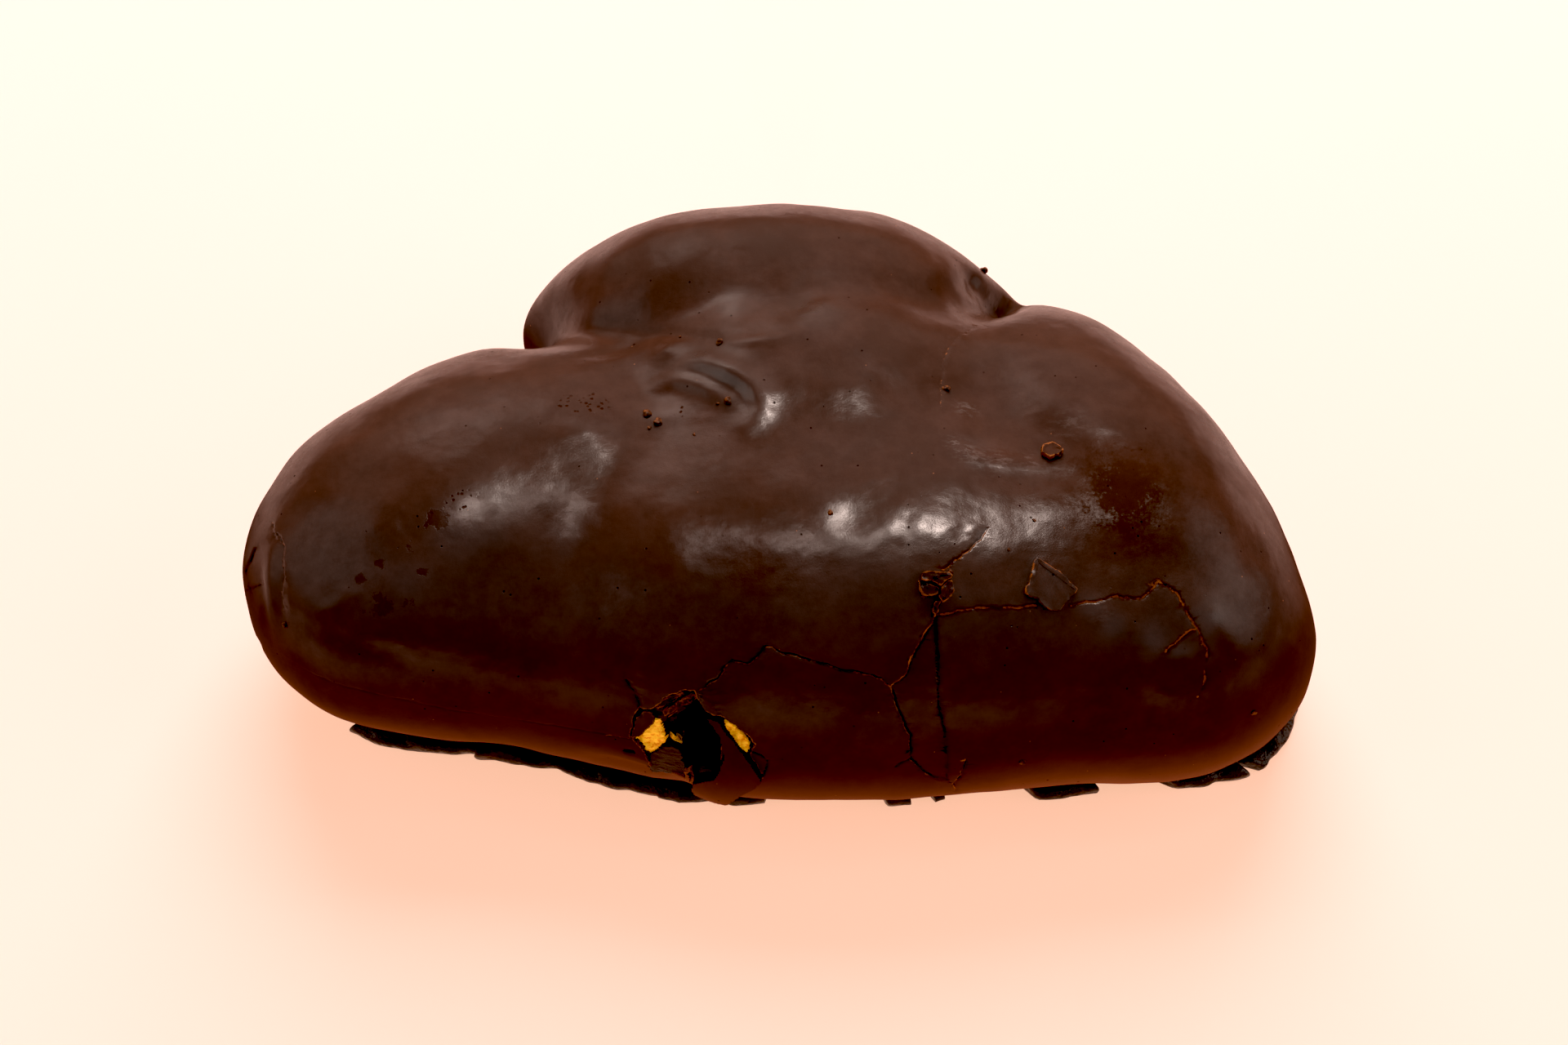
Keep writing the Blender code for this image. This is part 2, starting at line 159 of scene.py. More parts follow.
@dataclass(frozen=True)
class Skin:
    """The outer form of the bun: puffs that ran together, with a fold in each notch.

    A search for the skin along a ray starts with its two distances from the ray's start, halves the stretch
    between them a few times, and then guesses where it is. Rays to the long side start inside, at inner_y.
    """

    puffs: tuple[Puff, ...] = (
        Puff(-29.5, -6.4, 31.0, 21.2, 25.3, 14.0, 32.6),
        Puff(5.9, -11.3, 48.0, 24.8, 1.2, 10.1, 33.7),
        Puff(-1.8, 19.4, 30.0, 16.6, 2.5, 11.5, 33.6),
        Puff(33.3, -1.4, 28.6, 18.2, -57.5, 11.7, 32.2),
        Puff(2.7, 3.9, 30.0, 22.2, 0.0, 10.0, 34.5),
        Puff(36.7, -16.5, 21.5, 14.8, -6.0, 9.5, 28.0),
    )
    folds: tuple[Fold, ...] = (
        Fold((-31.0, 18.3, 4.0), (-28.0, 13.3, 31.0), 3.4, 3.1),
        Fold((27.5, 24.6, 6.0), (21.9, 18.0, 31.0), 3.0, 2.2),
    )
    heart: tuple[float, float, float] = (2.7, 0.8, 14.0)
    profile: float = 2.15
    plan: float = 2.1
    undercut: float = 1.4
    crease: float = 2.0
    ridge: float = 0.9
    crease_top: float = 12.0
    ridge_bottom: float = 28.0
    search: tuple[float, float] = (1.0, 90.0)
    halvings: int = 5
    guesses: int = 8
    inner_y: float = -15.0
    probe: float = 0.05

    @property
    def middle(self) -> Array:
        """The point that every ray to the skin starts from, in metres."""
        return np.array(self.heart) * MM

    def gap(self, points: Array) -> Array:
        """Roughly how far points are outside the bun, negative inside it."""
        gaps = np.stack([puff.gap(points, self.profile, self.plan, self.undercut) for puff in self.puffs])
        nearest = gaps.min(axis=0)
        rise = soft_step(points[:, 2], self.crease_top * MM, self.ridge_bottom * MM)
        softness = (self.crease + (self.ridge - self.crease) * rise) * MM
        joined = nearest - softness * np.log(np.exp((nearest - gaps) / softness).sum(axis=0))
        return joined + sum(fold.press(points) for fold in self.folds)

    def leaving(self, start: Array, directions: Array) -> Array:
        """The distances at which rays leave the bun.

        Args:
            start: One point inside the bun, or one for each ray.
            directions: Unit directions.

        Returns:
            One distance a ray, in metres.
        """
        near, far = (np.full(len(directions), reach * MM) for reach in self.search)
        low, high = (self.gap(start + directions * reach[:, None]) for reach in (near, far))
        for turn in range(self.halvings + self.guesses):
            if turn < self.halvings:
                middle = (near + far) / 2
            else:
                middle = near + (far - near) * np.clip(crossing(low, high), 0.02, 0.98)
            there = self.gap(start + directions * middle[:, None])
            within = there < 0
            near, low = np.where(within, middle, near), np.where(within, there, low)
            far, high = np.where(within, far, middle), np.where(within, high, there)
        return near + (far - near) * np.clip(crossing(low, high), 0.0, 1.0)

    def outward(self, points: Array) -> Array:
        """Outward normals of the skin at points on it."""
        steps = np.eye(3) * (self.probe * MM)
        return unit(np.stack([self.gap(points + step) - self.gap(points - step) for step in steps], axis=-1))

    def settle(self, points: Array) -> Array:
        """The places where the rays from the heart through points meet the skin."""
        directions = unit(points - self.middle)
        return self.middle + directions * self.leaving(self.middle, directions)[:, None]

    def front(self, places: Array) -> Array:
        """The places of the long side at some x and height, as seen along +Y.

        Args:
            places: x and height in metres, one pair a row.

        Returns:
            Points on the skin.
        """
        start = np.stack([places[:, 0], np.full(len(places), self.inner_y * MM), places[:, 1]], axis=-1)
        ahead = np.tile([0.0, -1.0, 0.0], (len(places), 1))
        return start + ahead * self.leaving(start, ahead)[:, None]

    def rim(self, bearing: Array, height: float) -> Array:
        """How far the skin is from the heart's upright axis, at a height, for each bearing in radians."""
        level = np.stack([np.cos(bearing), np.sin(bearing), np.zeros_like(bearing)], axis=-1)
        return self.leaving(np.array([self.heart[0] * MM, self.heart[1] * MM, height]), level)


@dataclass(frozen=True)
class Sight:
    """Where the camera stands, and the lines of sight through the pixels of its picture.

    A line of sight is searched from ahead millimetres before the target's distance, in marches whose shortest
    and longest strides are in metres.
    """

    focal_pixels: float = 3699.65
    picture: tuple[int, int] = (1920, 1280)
    elevation: float = 54.165
    roll: float = 1.3266
    target: tuple[float, float, float] = (0.230, 5.986, 0.0)
    distance: float = 356.394
    sensor: float = 36.0
    clip: tuple[float, float] = (0.01, 10.0)
    ahead: float = 75.0
    marches: int = 260
    touching: float = 1e-6
    strides: tuple[float, float] = (2e-6, 4e-3)

    def axes(self) -> tuple[Array, Array, Array]:
        """The camera's right, up and backward directions."""
        tilt, roll = math.radians(self.elevation), math.radians(self.roll)
        back = np.array([0.0, -math.cos(tilt), math.sin(tilt)])
        right, up = np.array([1.0, 0.0, 0.0]), np.array([0.0, math.sin(tilt), math.cos(tilt)])
        turned = right * math.cos(roll) + up * math.sin(roll)
        return turned, up * math.cos(roll) - right * math.sin(roll), back

    @property
    def eye(self) -> Array:
        """The camera's place, in metres."""
        return (np.array(self.target) + self.axes()[2] * self.distance) * MM

    def pixels_of(self, points: Array) -> Array:
        """The pixels at which points appear."""
        right, up, back = self.axes()
        away = points - self.eye
        depth = -(away @ back)
        across = self.picture[0] / 2 + self.focal_pixels * (away @ right) / depth
        return np.stack([across, self.picture[1] / 2 - self.focal_pixels * (away @ up) / depth], axis=-1)

    def onto(self, skin: Skin, pixels: Sequence[Sequence[float]]) -> Array:
        """The first points of the skin on the lines of sight through pixels.

        Args:
            skin: What the lines of sight meet.
            pixels: Pixels of the picture, one a row.

        Returns:
            Points on the skin; the nearest ones to the line where it passes by.
        """
        right, up, back = self.axes()
        spots = np.array(pixels, float)
        across = (spots[:, 0] - self.picture[0] / 2) / self.focal_pixels
        down = (spots[:, 1] - self.picture[1] / 2) / self.focal_pixels
        way = unit(across[:, None] * right - down[:, None] * up - back)
        reach = np.full(len(spots), (self.distance - self.ahead) * MM)
        best, best_gap = reach.copy(), np.full(len(spots), np.inf)
        for _ in range(self.marches):
            gap = skin.gap(self.eye + way * reach[:, None])
            nearer = gap < best_gap
            best, best_gap = np.where(nearer, reach, best), np.minimum(gap, best_gap)
            reach = reach + np.where(gap > self.touching, np.clip(gap * 0.5, *self.strides), 0.0)
        return self.eye + way * best[:, None]

    def place_camera(self) -> None:
        """Adds the camera and makes it the scene's own."""
        data = bpy.data.cameras.new("camera")
        data.sensor_width = self.sensor
        data.lens = self.focal_pixels * self.sensor / self.picture[0]
        data.clip_start, data.clip_end = self.clip
        camera = bpy.data.objects.new("camera", data)
        turned = Matrix(np.column_stack(self.axes()).tolist()).to_4x4()
        camera.matrix_world = Matrix.Translation(Vector(self.eye)) @ turned
        bpy.context.scene.collection.objects.link(camera)
        bpy.context.scene.camera = camera


@dataclass(frozen=True)
class Swell:
    """Smooth random waves through space."""

    wavelength: float
    seed: int
    waves: int = 18
    spread: tuple[float, float] = (0.7, 1.6)

    def at(self, points: Array) -> Array:
        """The waves' height at points, mostly between -1 and 1."""
        chance = np.random.default_rng(self.seed)
        lengths = self.wavelength * MM * chance.uniform(*self.spread, self.waves)
        headings = unit(chance.normal(size=(self.waves, 3))) * (2 * math.pi / lengths)[:, None]
        phases = chance.uniform(0, 2 * math.pi, self.waves)
        return np.cos(points @ headings.T + phases).sum(axis=1) / math.sqrt(self.waves)


class Track:
    """A line through space that other things are measured from."""

    shortest = 1e-18  # keeps a division by the square of a leg's length off zero

    def __init__(self, points: Array) -> None:
        """Keeps the line's corners."""
        self.points = points

    @classmethod
    def ragged(cls, corners: Array, spacing: float, sway: float, seed: int) -> "Track":
        """A line through corners that wavers between them, as a break does.

        Args:
            corners: Points that the line passes close to.
            spacing: Distance between its own points, in millimetres.
            sway: How far it wavers, in millimetres.
            seed: Which of the random lines to take.

        Returns:
            The wavering line.
        """
        steps = np.linalg.norm(np.diff(corners, axis=0), axis=1)
        reach = np.concatenate([[0.0], np.cumsum(steps)])
        count = max(3, int(reach[-1] / (spacing * MM)) + 1)
        stations = np.linspace(0.0, reach[-1], count)
        points = np.stack([np.interp(stations, reach, corners[:, i]) for i in range(3)], axis=-1)
        chance = np.random.default_rng(seed)
        coarse, fine = (chance.normal(size=(count, 3)) for _ in range(2))
        kernel = np.array([0.25, 0.5, 0.25])
        for axis in range(3):
            coarse[:, axis] = np.convolve(coarse[:, axis], np.ones(5) / 5, mode="same")
            fine[:, axis] = np.convolve(fine[:, axis], kernel, mode="same")
        points[1:-1] += (coarse * 1.2 + fine * 0.6)[1:-1] * sway * MM
        return cls(points)

    def near(self, places: Array, margin: float) -> Array:
        """The indices of places within a margin, in metres, of the line's box."""
        low, high = self.points.min(axis=0) - margin, self.points.max(axis=0) + margin
        return np.flatnonzero(((places > low) & (places < high)).all(axis=1))

    def measure(self, places: Array) -> tuple[Array, Array, Array, Array]:
        """How places lie to the line.

        Args:
            places: Points, one a row.

        Returns:
            The distance, how far along the line (0 to 1), the way from the line, and the line's own way.
        """
        away, along = np.full(len(places), np.inf), np.zeros(len(places))
        offset, heading = np.zeros((len(places), 3)), np.zeros((len(places), 3))
        legs = np.diff(self.points, axis=0)
        for index, (start, leg) in enumerate(zip(self.points, legs)):
            share = np.clip((places - start) @ leg / max(leg @ leg, self.shortest), 0.0, 1.0)
            rest = places - start - share[:, None] * leg
            length = np.linalg.norm(rest, axis=1)
            closer = length < away
            away = np.where(closer, length, away)
            along = np.where(closer, (index + share) / len(legs), along)
            offset[closer], heading[closer] = rest[closer], leg
        return away, along, offset, unit(heading)


# ---- The workbench: steps that several pieces share ----


class Bench:
    """Modelling steps on one object at a time."""

    @staticmethod
    def alone(obj: bpy.types.Object) -> None:
        """Selects this object and nothing else."""
        bpy.ops.object.select_all(action="DESELECT")
        obj.select_set(True)
        bpy.context.view_layer.objects.active = obj

    @staticmethod
    def primitive(
        add: Callable[..., Any], name: str, stretch: Sequence[float] | None = None, **settings: Any
    ) -> bpy.types.Object:
        """Adds a primitive, stretches it if asked and bakes its place into its mesh."""
        bpy.ops.object.select_all(action="DESELECT")
        add(**settings)
        obj = bpy.context.active_object
        obj.name = obj.data.name = name
        if stretch is not None:
            obj.scale = stretch
        Bench.alone(obj)
        bpy.ops.object.transform_apply(location=True, rotation=True, scale=True)
        return obj

    @staticmethod
    @contextmanager
    def editing(obj: bpy.types.Object, action: str = "SELECT") -> Iterator[bmesh.types.BMesh]:
        """Edit mode on an object's faces, with all of them selected, or with DESELECT none."""
        Bench.alone(obj)
        bpy.ops.object.mode_set(mode="EDIT")
        bpy.ops.mesh.select_mode(type="FACE")
        bpy.ops.mesh.select_all(action=action)
        yield bmesh.from_edit_mesh(obj.data)
        bpy.ops.object.mode_set(mode="OBJECT")

    @staticmethod
    def ball(name: str, detail: int, centre: Array, radii: Sequence[float]) -> bpy.types.Object:
        """An even ball of triangles, stretched to three radii in metres."""
        sizes = {"subdivisions": detail, "radius": 1.0, "location": tuple(centre), "scale": tuple(radii)}
        return Bench.primitive(bpy.ops.mesh.primitive_ico_sphere_add, name, calc_uvs=False, **sizes)

    @staticmethod
    def _read(items: Any, what: str) -> Array:
        """One vector of each of a mesh's vertices or faces."""
        values = np.empty(len(items) * 3)
        items.foreach_get(what, values)
        return values.reshape(-1, 3)

    @staticmethod
    def points(obj: bpy.types.Object) -> Array:
        """The places of the mesh's vertices."""
        return Bench._read(obj.data.vertices, "co")

    @staticmethod
    def put(obj: bpy.types.Object, places: Array) -> None:
        """Moves the mesh's vertices."""
        obj.data.vertices.foreach_set("co", places.ravel())
        obj.data.update()

    @staticmethod
    @contextmanager
    def picking(obj: bpy.types.Object, wanted: Callable[[Array], Array]) -> Iterator[None]:
        """Edit mode on an object, with the faces selected whose middles are wanted."""
        chosen = wanted(Bench._read(obj.data.polygons, "center"))
        with Bench.editing(obj, "DESELECT") as shape:
            for face, take in zip(shape.faces, chosen.tolist()):
                if take:
                    face.select_set(True)
            bmesh.update_edit_mesh(obj.data)
            yield

    @staticmethod
    def refine(obj: bpy.types.Object, wanted: Callable[[Array], Array]) -> None:
        """Splits the edges of the faces whose middles are wanted."""
        with Bench.picking(obj, wanted):
            bpy.ops.mesh.subdivide(number_cuts=1)

    @staticmethod
    def drop_faces(obj: bpy.types.Object, unwanted: Callable[[Array], Array]) -> None:
        """Deletes the faces whose middles are unwanted."""
        with Bench.picking(obj, unwanted):
            bpy.ops.mesh.delete(type="FACE")

    @staticmethod
    def face_outward(obj: bpy.types.Object) -> None:
        """Turns all normals outward."""
        with Bench.editing(obj):
            bpy.ops.mesh.normals_make_consistent(inside=False)

    @staticmethod
    def apply(obj: bpy.types.Object, kind: str, **settings: Any) -> None:
        """Adds a modifier with its settings and applies it."""
        modifier = obj.modifiers.new(kind.lower(), kind)
        for key, value in settings.items():
            setattr(modifier, key, value)
        Bench.alone(obj)
        bpy.ops.object.modifier_apply(modifier=modifier.name)

    @staticmethod
    def cut(obj: bpy.types.Object, tool: bpy.types.Object) -> None:
        """Takes a tool's volume away from a solid."""
        Bench.apply(obj, "BOOLEAN", operation="DIFFERENCE", object=tool, solver="EXACT")

    @staticmethod
    def thicken(obj: bpy.types.Object, thickness: float) -> None:
        """Gives a face a wall inwards, in millimetres; its light edges stay on the outer face."""
        outer = len(obj.data.vertices)
        Bench.apply(obj, "SOLIDIFY", thickness=thickness * MM, offset=-1.0, use_quality_normals=True)
        layer = obj.data.attributes["edge"].data
        values = np.empty(len(layer), np.float32)
        layer.foreach_get("value", values)
        values[outer:] = 0.0
        layer.foreach_set("value", values)

    @staticmethod
    def paint(obj: bpy.types.Object, name: str, values: Array) -> None:
        """Keeps one number a vertex for the finish to read."""
        layer = obj.data.attributes.get(name) or obj.data.attributes.new(name, "FLOAT", "POINT")
        layer.data.foreach_set("value", values.astype(np.float32))

    @staticmethod
    def smooth(obj: bpy.types.Object, angle: float | None = None) -> None:
        """Shades the mesh smooth, all over or up to an angle between faces."""
        Bench.alone(obj)
        if angle is None:
            bpy.ops.object.shade_smooth()
        else:
            bpy.ops.object.shade_smooth_by_angle(angle=math.radians(angle))

    @staticmethod
    def hand_over(obj: bpy.types.Object, material: bpy.types.Material, slot: str, *nodes: str) -> None:
        """Dresses a finished piece, seats it on the body and hides the nodes that it stands for."""
        obj.data.materials.clear()
        obj.data.materials.append(material)
        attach(obj, "root")
        if nodes:
            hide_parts(*nodes)
        obj.data.calc_loop_triangles()
        LOG.info("%s: %d triangles", obj.name, len(obj.data.loop_triangles))


# ---- Shaders ----


class Value:
    """A number that comes out of a shader node; sums and products of it add Math nodes."""

    def __init__(self, shader: "Shader", socket: bpy.types.NodeSocket) -> None:
        """Wraps a socket of a shader."""
        self.shader, self.socket = shader, socket

    def _math(self, operation: str, *others: "Value | float") -> "Value":
        """One Math node on numbers."""
        return self.shader.node("ShaderNodeMath", {"operation": operation}, dict(enumerate(others)))

    def __add__(self, other: "Value | float") -> "Value":
        """This plus other."""
        return self._math("ADD", self, other)

    def __sub__(self, other: "Value | float") -> "Value":
        """This minus other."""
        return self._math("SUBTRACT", self, other)

    def __mul__(self, other: "Value | float") -> "Value":
        """This times other."""
        return self._math("MULTIPLY", self, other)

    def __rsub__(self, other: float) -> "Value":
        """Other minus this."""
        return self._math("SUBTRACT", other, self)

    __radd__ = __add__

    def at_least(self, low: float) -> "Value":
        """This, or low where this is under it."""
        return self._math("MAXIMUM", self, low)

    def above(self, low: float, high: float) -> "Value":
        """0 where this is under low, 1 over high, and smooth in between."""
        settings = {"interpolation_type": "SMOOTHSTEP"}
        return self.shader.node("ShaderNodeMapRange", settings, {"Value": self, 1: low, 2: high})


class Shader:
    """A material under construction."""

    def __init__(self, name: str) -> None:
        """Starts with an empty node tree and a Principled shader."""
        self.material = bpy.data.materials.new(name)
        self.material.use_nodes = True
        self.tree = self.material.node_tree
        self.surface = self.tree.nodes["Principled BSDF"]
        self.place = self.node("ShaderNodeTexCoord", output="Object")

    def node(
        self,
        kind: str,
        settings: dict[str, Any] | None = None,
        inputs: dict[str | int, Any] | None = None,
        output: str | int = 0,
    ) -> Value:
        """Adds a node.

        Args:
            kind: The node's type.
            settings: Its own settings.
            inputs: What goes into its sockets, by name or number.
            output: The socket that is handed back.

        Returns:
            The chosen output.
        """
        node = self.tree.nodes.new(kind)
        for key, value in (settings or {}).items():
            setattr(node, key, value)
        for key, value in (inputs or {}).items():
            self.feed(node.inputs[key], value)
        return Value(self, node.outputs[output])

    def feed(self, socket: bpy.types.NodeSocket, value: Any) -> None:
        """Gives a socket a link, a number or a colour."""
        if isinstance(value, Value):
            self.tree.links.new(value.socket, socket)
        elif socket.type == "RGBA" and len(value) == 3:
            socket.default_value = (*value, 1.0)
        else:
            socket.default_value = value

    def noise(self, size: float, detail: float = 3.0, rough: float = 0.55, stretch: Colour = EVEN) -> Value:
        """Cloudy noise whose clouds are about a size in millimetres across."""
        place = self.place
        if stretch != EVEN:
            inputs = {"Vector": place, "Scale": stretch}
            place = self.node("ShaderNodeMapping", {"vector_type": "POINT"}, inputs)
        values = {"Vector": place, "Scale": 1 / MM / size, "Detail": detail, "Roughness": rough}
        return self.node("ShaderNodeTexNoise", None, values)

    def spots(self, size: float, radius: float, soft: float = 0.35) -> Value:
        """Scattered round spots, about a size in millimetres apart, of a radius as a share of it."""
        distance = self.node("ShaderNodeTexVoronoi", None, {"Vector": self.place, "Scale": 1 / MM / size})
        return 1.0 - distance.above(radius * (1 - soft), radius)

    def painted(self, name: str) -> Value:
        """A number that the mesh keeps at its vertices."""
        return self.node("ShaderNodeAttribute", {"attribute_name": name}, output="Fac")

    def mix(self, share: Value | float, first: Value | Colour, second: Value | Colour) -> Value:
        """Blends two colours."""
        settings = {"data_type": "RGBA"}
        return self.node("ShaderNodeMix", settings, {0: share, 6: first, 7: second}, output=2)

    def along(self, axis: str) -> Value:
        """The place along X, Y or Z, in metres."""
        return self.node("ShaderNodeSeparateXYZ", None, {0: self.place}, output=axis)

    def bump(self, depth: float, strength: float, height: Value, under: Value | None = None) -> Value:
        """A relief in the normals, of a depth in millimetres."""
        values = {"Strength": strength, "Distance": depth * MM, "Height": height}
        if under is not None:
            values["Normal"] = under
        return self.node("ShaderNodeBump", None, values)

    def finish(self, **inputs: Any) -> bpy.types.Material:
        """Feeds the Principled shader's sockets, with _ for the spaces in their names."""
        for key, value in inputs.items():
            self.feed(self.surface.inputs[key.replace("_", " ")], value)
        return self.material


@dataclass(frozen=True)
class CoatFinish:
    """Satin chocolate that was dipped, handled and chilled; a thin film on it gives the sheen.

    Low down the coat is painted a lighter warm brown, which stands for the glow that the table throws up on
    it, and there it has no film. The bounds of low and film are heights in metres; those of the ends are
    squares of the distance along X.
    """

    deep: Colour = (0.050, 0.0190, 0.0115)
    warm: Colour = (0.066, 0.0245, 0.0150)
    painted_table_glow: Colour = (0.250, 0.0760, 0.0380)
    broken_and_lit_edge: Colour = (0.34, 0.100, 0.032)
    crevice_shade: Colour = (0.006, 0.0016, 0.0007)
    stain: Colour = (0.036, 0.0100, 0.0046)
    scuff_and_highlight: Colour = (0.40, 0.29, 0.25)
    roughness: float = 0.52
    specular: float = 0.0
    film: float = 0.52
    film_roughness: float = 0.27
    ends_bounds: tuple[float, float] = (0.0021, 0.0034)
    low_bounds: tuple[float, float] = (0.0045, 0.0160)
    film_bounds: tuple[float, float] = (0.0170, 0.0262)
    brushed: Colour = (0.5, 1.0, 1.0)

    def make(self) -> bpy.types.Material:
        """Builds the material."""
        shader = Shader("satin_chocolate")
        clouds, flecks = shader.noise(9.0, 4.0, 0.6), shader.noise(1.6, 3.0, 0.6)
        grain, sand = shader.noise(0.22, 2.0, 0.7), shader.noise(0.34, 1.0, 0.6)
        smears, ripples = shader.noise(5.0, 3.0, 0.6, self.brushed), shader.noise(3.4, 2.0, 0.5)
        ends = (shader.along("X") * shader.along("X")).above(*self.ends_bounds)
        height = shader.along("Z") + clouds * 0.004 - ends * 0.003
        low = 1.0 - height.above(*self.low_bounds)
        # marks, each from 0 to 1
        pores = shader.spots(1.7, 0.085) * shader.noise(7.0, 1.0).above(0.42, 0.6)
        stains = (shader.painted("stain") * 0.8 + shader.noise(0.9, 3.0, 0.7) * 0.95).above(0.86, 0.92)
        pits = shader.spots(0.62, 0.33) * (shader.painted("pits") + shader.noise(1.4) * 0.6).above(0.72, 0.95)
        scuff_and_highlight = shader.painted("scuff_and_highlight") * shader.noise(0.6, 3.0, 0.7, self.brushed).above(0.46, 0.64)
        edge = (shader.painted("edge") * (0.1 + sand * 1.8)).above(0.28, 0.72)
        # painted shade: near black in the cracks, on the lower plates beside them and in the pores
        crevice_shade = shader.painted("crevice_shade").above(0.15, 0.7)
        marks = (stains * 0.5 + pits + edge + crevice_shade + pores).above(0.0, 1.0)
        tone = (clouds * 0.7 + flecks * 0.4).above(0.42, 0.72) * 0.8 + (sand - 0.5) * 0.5
        colour = shader.mix(tone, self.deep, self.warm)
        for cover, tint in (
            # painted light: the table's glow on the low coat, as a lighter warm brown, weaker at the ends
            (low * (0.8 - ends * 0.35), self.painted_table_glow),
            (pores * 0.8, self.crevice_shade),
            (shader.spots(3.1, 0.030) * 0.5, self.broken_and_lit_edge),
            (stains * 0.5, self.stain),
            (pits * 0.85, self.stain),
            # pale scuffs, and painted highlights on a few bright spots
            (scuff_and_highlight * 0.17, self.scuff_and_highlight),
            # partly painted light on the lit edges of cracks, tears, flakes and crumbs, partly the paler
            # colour of broken chocolate
            (edge * 0.9, self.broken_and_lit_edge),
            # painted shade in the cracks and on the lower plates beside them
            (crevice_shade, self.crevice_shade),
        ):
            colour = shader.mix(cover, colour, tint)
        film = self.film + (smears - 0.5) * 0.5 + (flecks - 0.5) * 0.3 + (sand - 0.5) * 0.3
        film = (film + shader.painted("gloss") * 0.6).at_least(0.0)
        fine = shader.bump(0.05, 0.6, grain * 0.35 - pores - pits * 1.4 - stains * 0.4)
        waves = shader.bump(0.35, 0.35, ripples, fine)
        return shader.finish(
            Base_Color=colour,
            Roughness=self.roughness + (smears - 0.5) * 0.12 + marks * 0.2 + low * 0.2,
            Normal=waves,
            Specular_IOR_Level=self.specular,
            Coat_Weight=film * (1.0 - marks * 0.9) * height.above(*self.film_bounds),
            Coat_Roughness=self.film_roughness,
            Coat_Normal=waves,
        )


@dataclass(frozen=True)
class FootFinish:
    """Dark glossy chocolate that set against a cold plate."""

    deep: Colour = (0.046, 0.0150, 0.0060)
    warm: Colour = (0.100, 0.0290, 0.0100)
    roughness: float = 0.20
    specular: float = 0.08
    film: float = 0.40
    film_roughness: float = 0.08

    def make(self) -> bpy.types.Material:
        """Builds the material."""
        shader = Shader("glossy_foot_chocolate")
        clouds = shader.noise(3.0, 3.0)
        waves = shader.bump(0.9, 0.9, shader.noise(1.9, 3.0, 0.5))
        return shader.finish(
            Base_Color=shader.mix(clouds.above(0.5, 0.72), self.deep, self.warm),
            Roughness=self.roughness + clouds * 0.2,
            Normal=waves,
            Specular_IOR_Level=self.specular,
            Coat_Weight=self.film,
            Coat_Roughness=self.film_roughness,
            Coat_Normal=waves,
        )


@dataclass(frozen=True)
class CrumbFinish:
    """Golden pastry, torn open; dark over most of it, partly from smeared chocolate and cream, partly painted
    shade.

    Light comes through the thin torn crumb, which a weak glow stands for.
    """

    golden: Colour = (0.95, 0.47, 0.040)
    toasted: Colour = (0.62, 0.20, 0.018)
    smeared: Colour = (0.044, 0.0135, 0.0060)
    swirl_glint: Colour = (0.080, 0.0290, 0.0150)
    dark: Colour = (0.0, 0.0, 0.0)
    roughness: float = 0.74
    specular: float = 0.1
    glow: float = 0.34

    def make(self) -> bpy.types.Material:
        """Builds the material."""
        shader = Shader("golden_crumb")
        grains, holes = shader.noise(0.55, 3.0, 0.7), shader.spots(0.7, 0.28)
        colour = shader.mix(grains.above(0.34, 0.58), self.toasted, self.golden)
        colour = shader.mix(holes * 0.4, colour, self.toasted)
        # dark everywhere but the golden patches: partly smeared chocolate and cream, partly painted shade in
        # the break
        smear_and_shade = (shader.painted("smear_and_shade") * 1.6 + shader.noise(0.8, 3.0, 0.6) * 0.7 - 0.55).above(0.15, 0.45)
        # painted glints: pale swirl lines on the smear
        lines = shader.noise(1.5, 3.0, 0.6, (0.45, 1.0, 2.4)).above(0.54, 0.66) * shader.painted("swirl_glint")
        colour = shader.mix(smear_and_shade, colour, shader.mix(lines, self.smeared, self.swirl_glint))
        return shader.finish(
            Base_Color=colour,
            Roughness=self.roughness - smear_and_shade * 0.32,
            Specular_IOR_Level=self.specular,
            Normal=shader.bump(0.16, 0.8, grains - holes * 0.6 + lines * 0.8),
            Emission_Color=shader.mix(smear_and_shade, colour, self.dark),
            Emission_Strength=self.glow,
        )


@dataclass(frozen=True)
class CreamFinish:
    """Dark chocolate cream, wet and slightly wrinkled."""

    dark: Colour = (0.012, 0.0038, 0.0020)
    pale: Colour = (0.060, 0.026, 0.016)
    roughness: float = 0.30

    def make(self) -> bpy.types.Material:
        """Builds the material."""
        shader = Shader("dark_cream")
        swirls = shader.noise(2.4, 4.0, 0.6, (0.6, 1.0, 2.6))
        return shader.finish(
            Base_Color=shader.mix(swirls.above(0.5, 0.68), self.dark, self.pale),
            Roughness=self.roughness + swirls * 0.15,
            Normal=shader.bump(0.3, 0.8, shader.noise(0.9, 3.0, 0.6, (0.7, 1.0, 1.8))),
        )


@dataclass(frozen=True)
class TableFinish:
    """The pale table, which glows a little where the bun shades it, as thin porcelain does."""

    colour: Colour = (0.46, 0.315, 0.345)
    glow: Colour = (0.88, 0.51, 0.345)
    glow_strength: float = 1.0
    shadow: float = 0.97
    roughness: float = 0.6
    specular: float = 0.2

    def make(self) -> bpy.types.Material:
        """Builds the material."""
        shader = Shader("pale_table")
        darker = tuple(channel * self.shadow for channel in self.colour)
        return shader.finish(
            Base_Color=shader.mix(shader.noise(120.0, 2.0) * 0.3, self.colour, darker),
            Roughness=self.roughness,
            Specular_IOR_Level=self.specular,
            Emission_Color=self.glow,
            Emission_Strength=self.glow_strength,
        )


# ---- What is on the coat ----


HAIR_DEPTH = 0.11  # a crack less deep than this is a hair crack


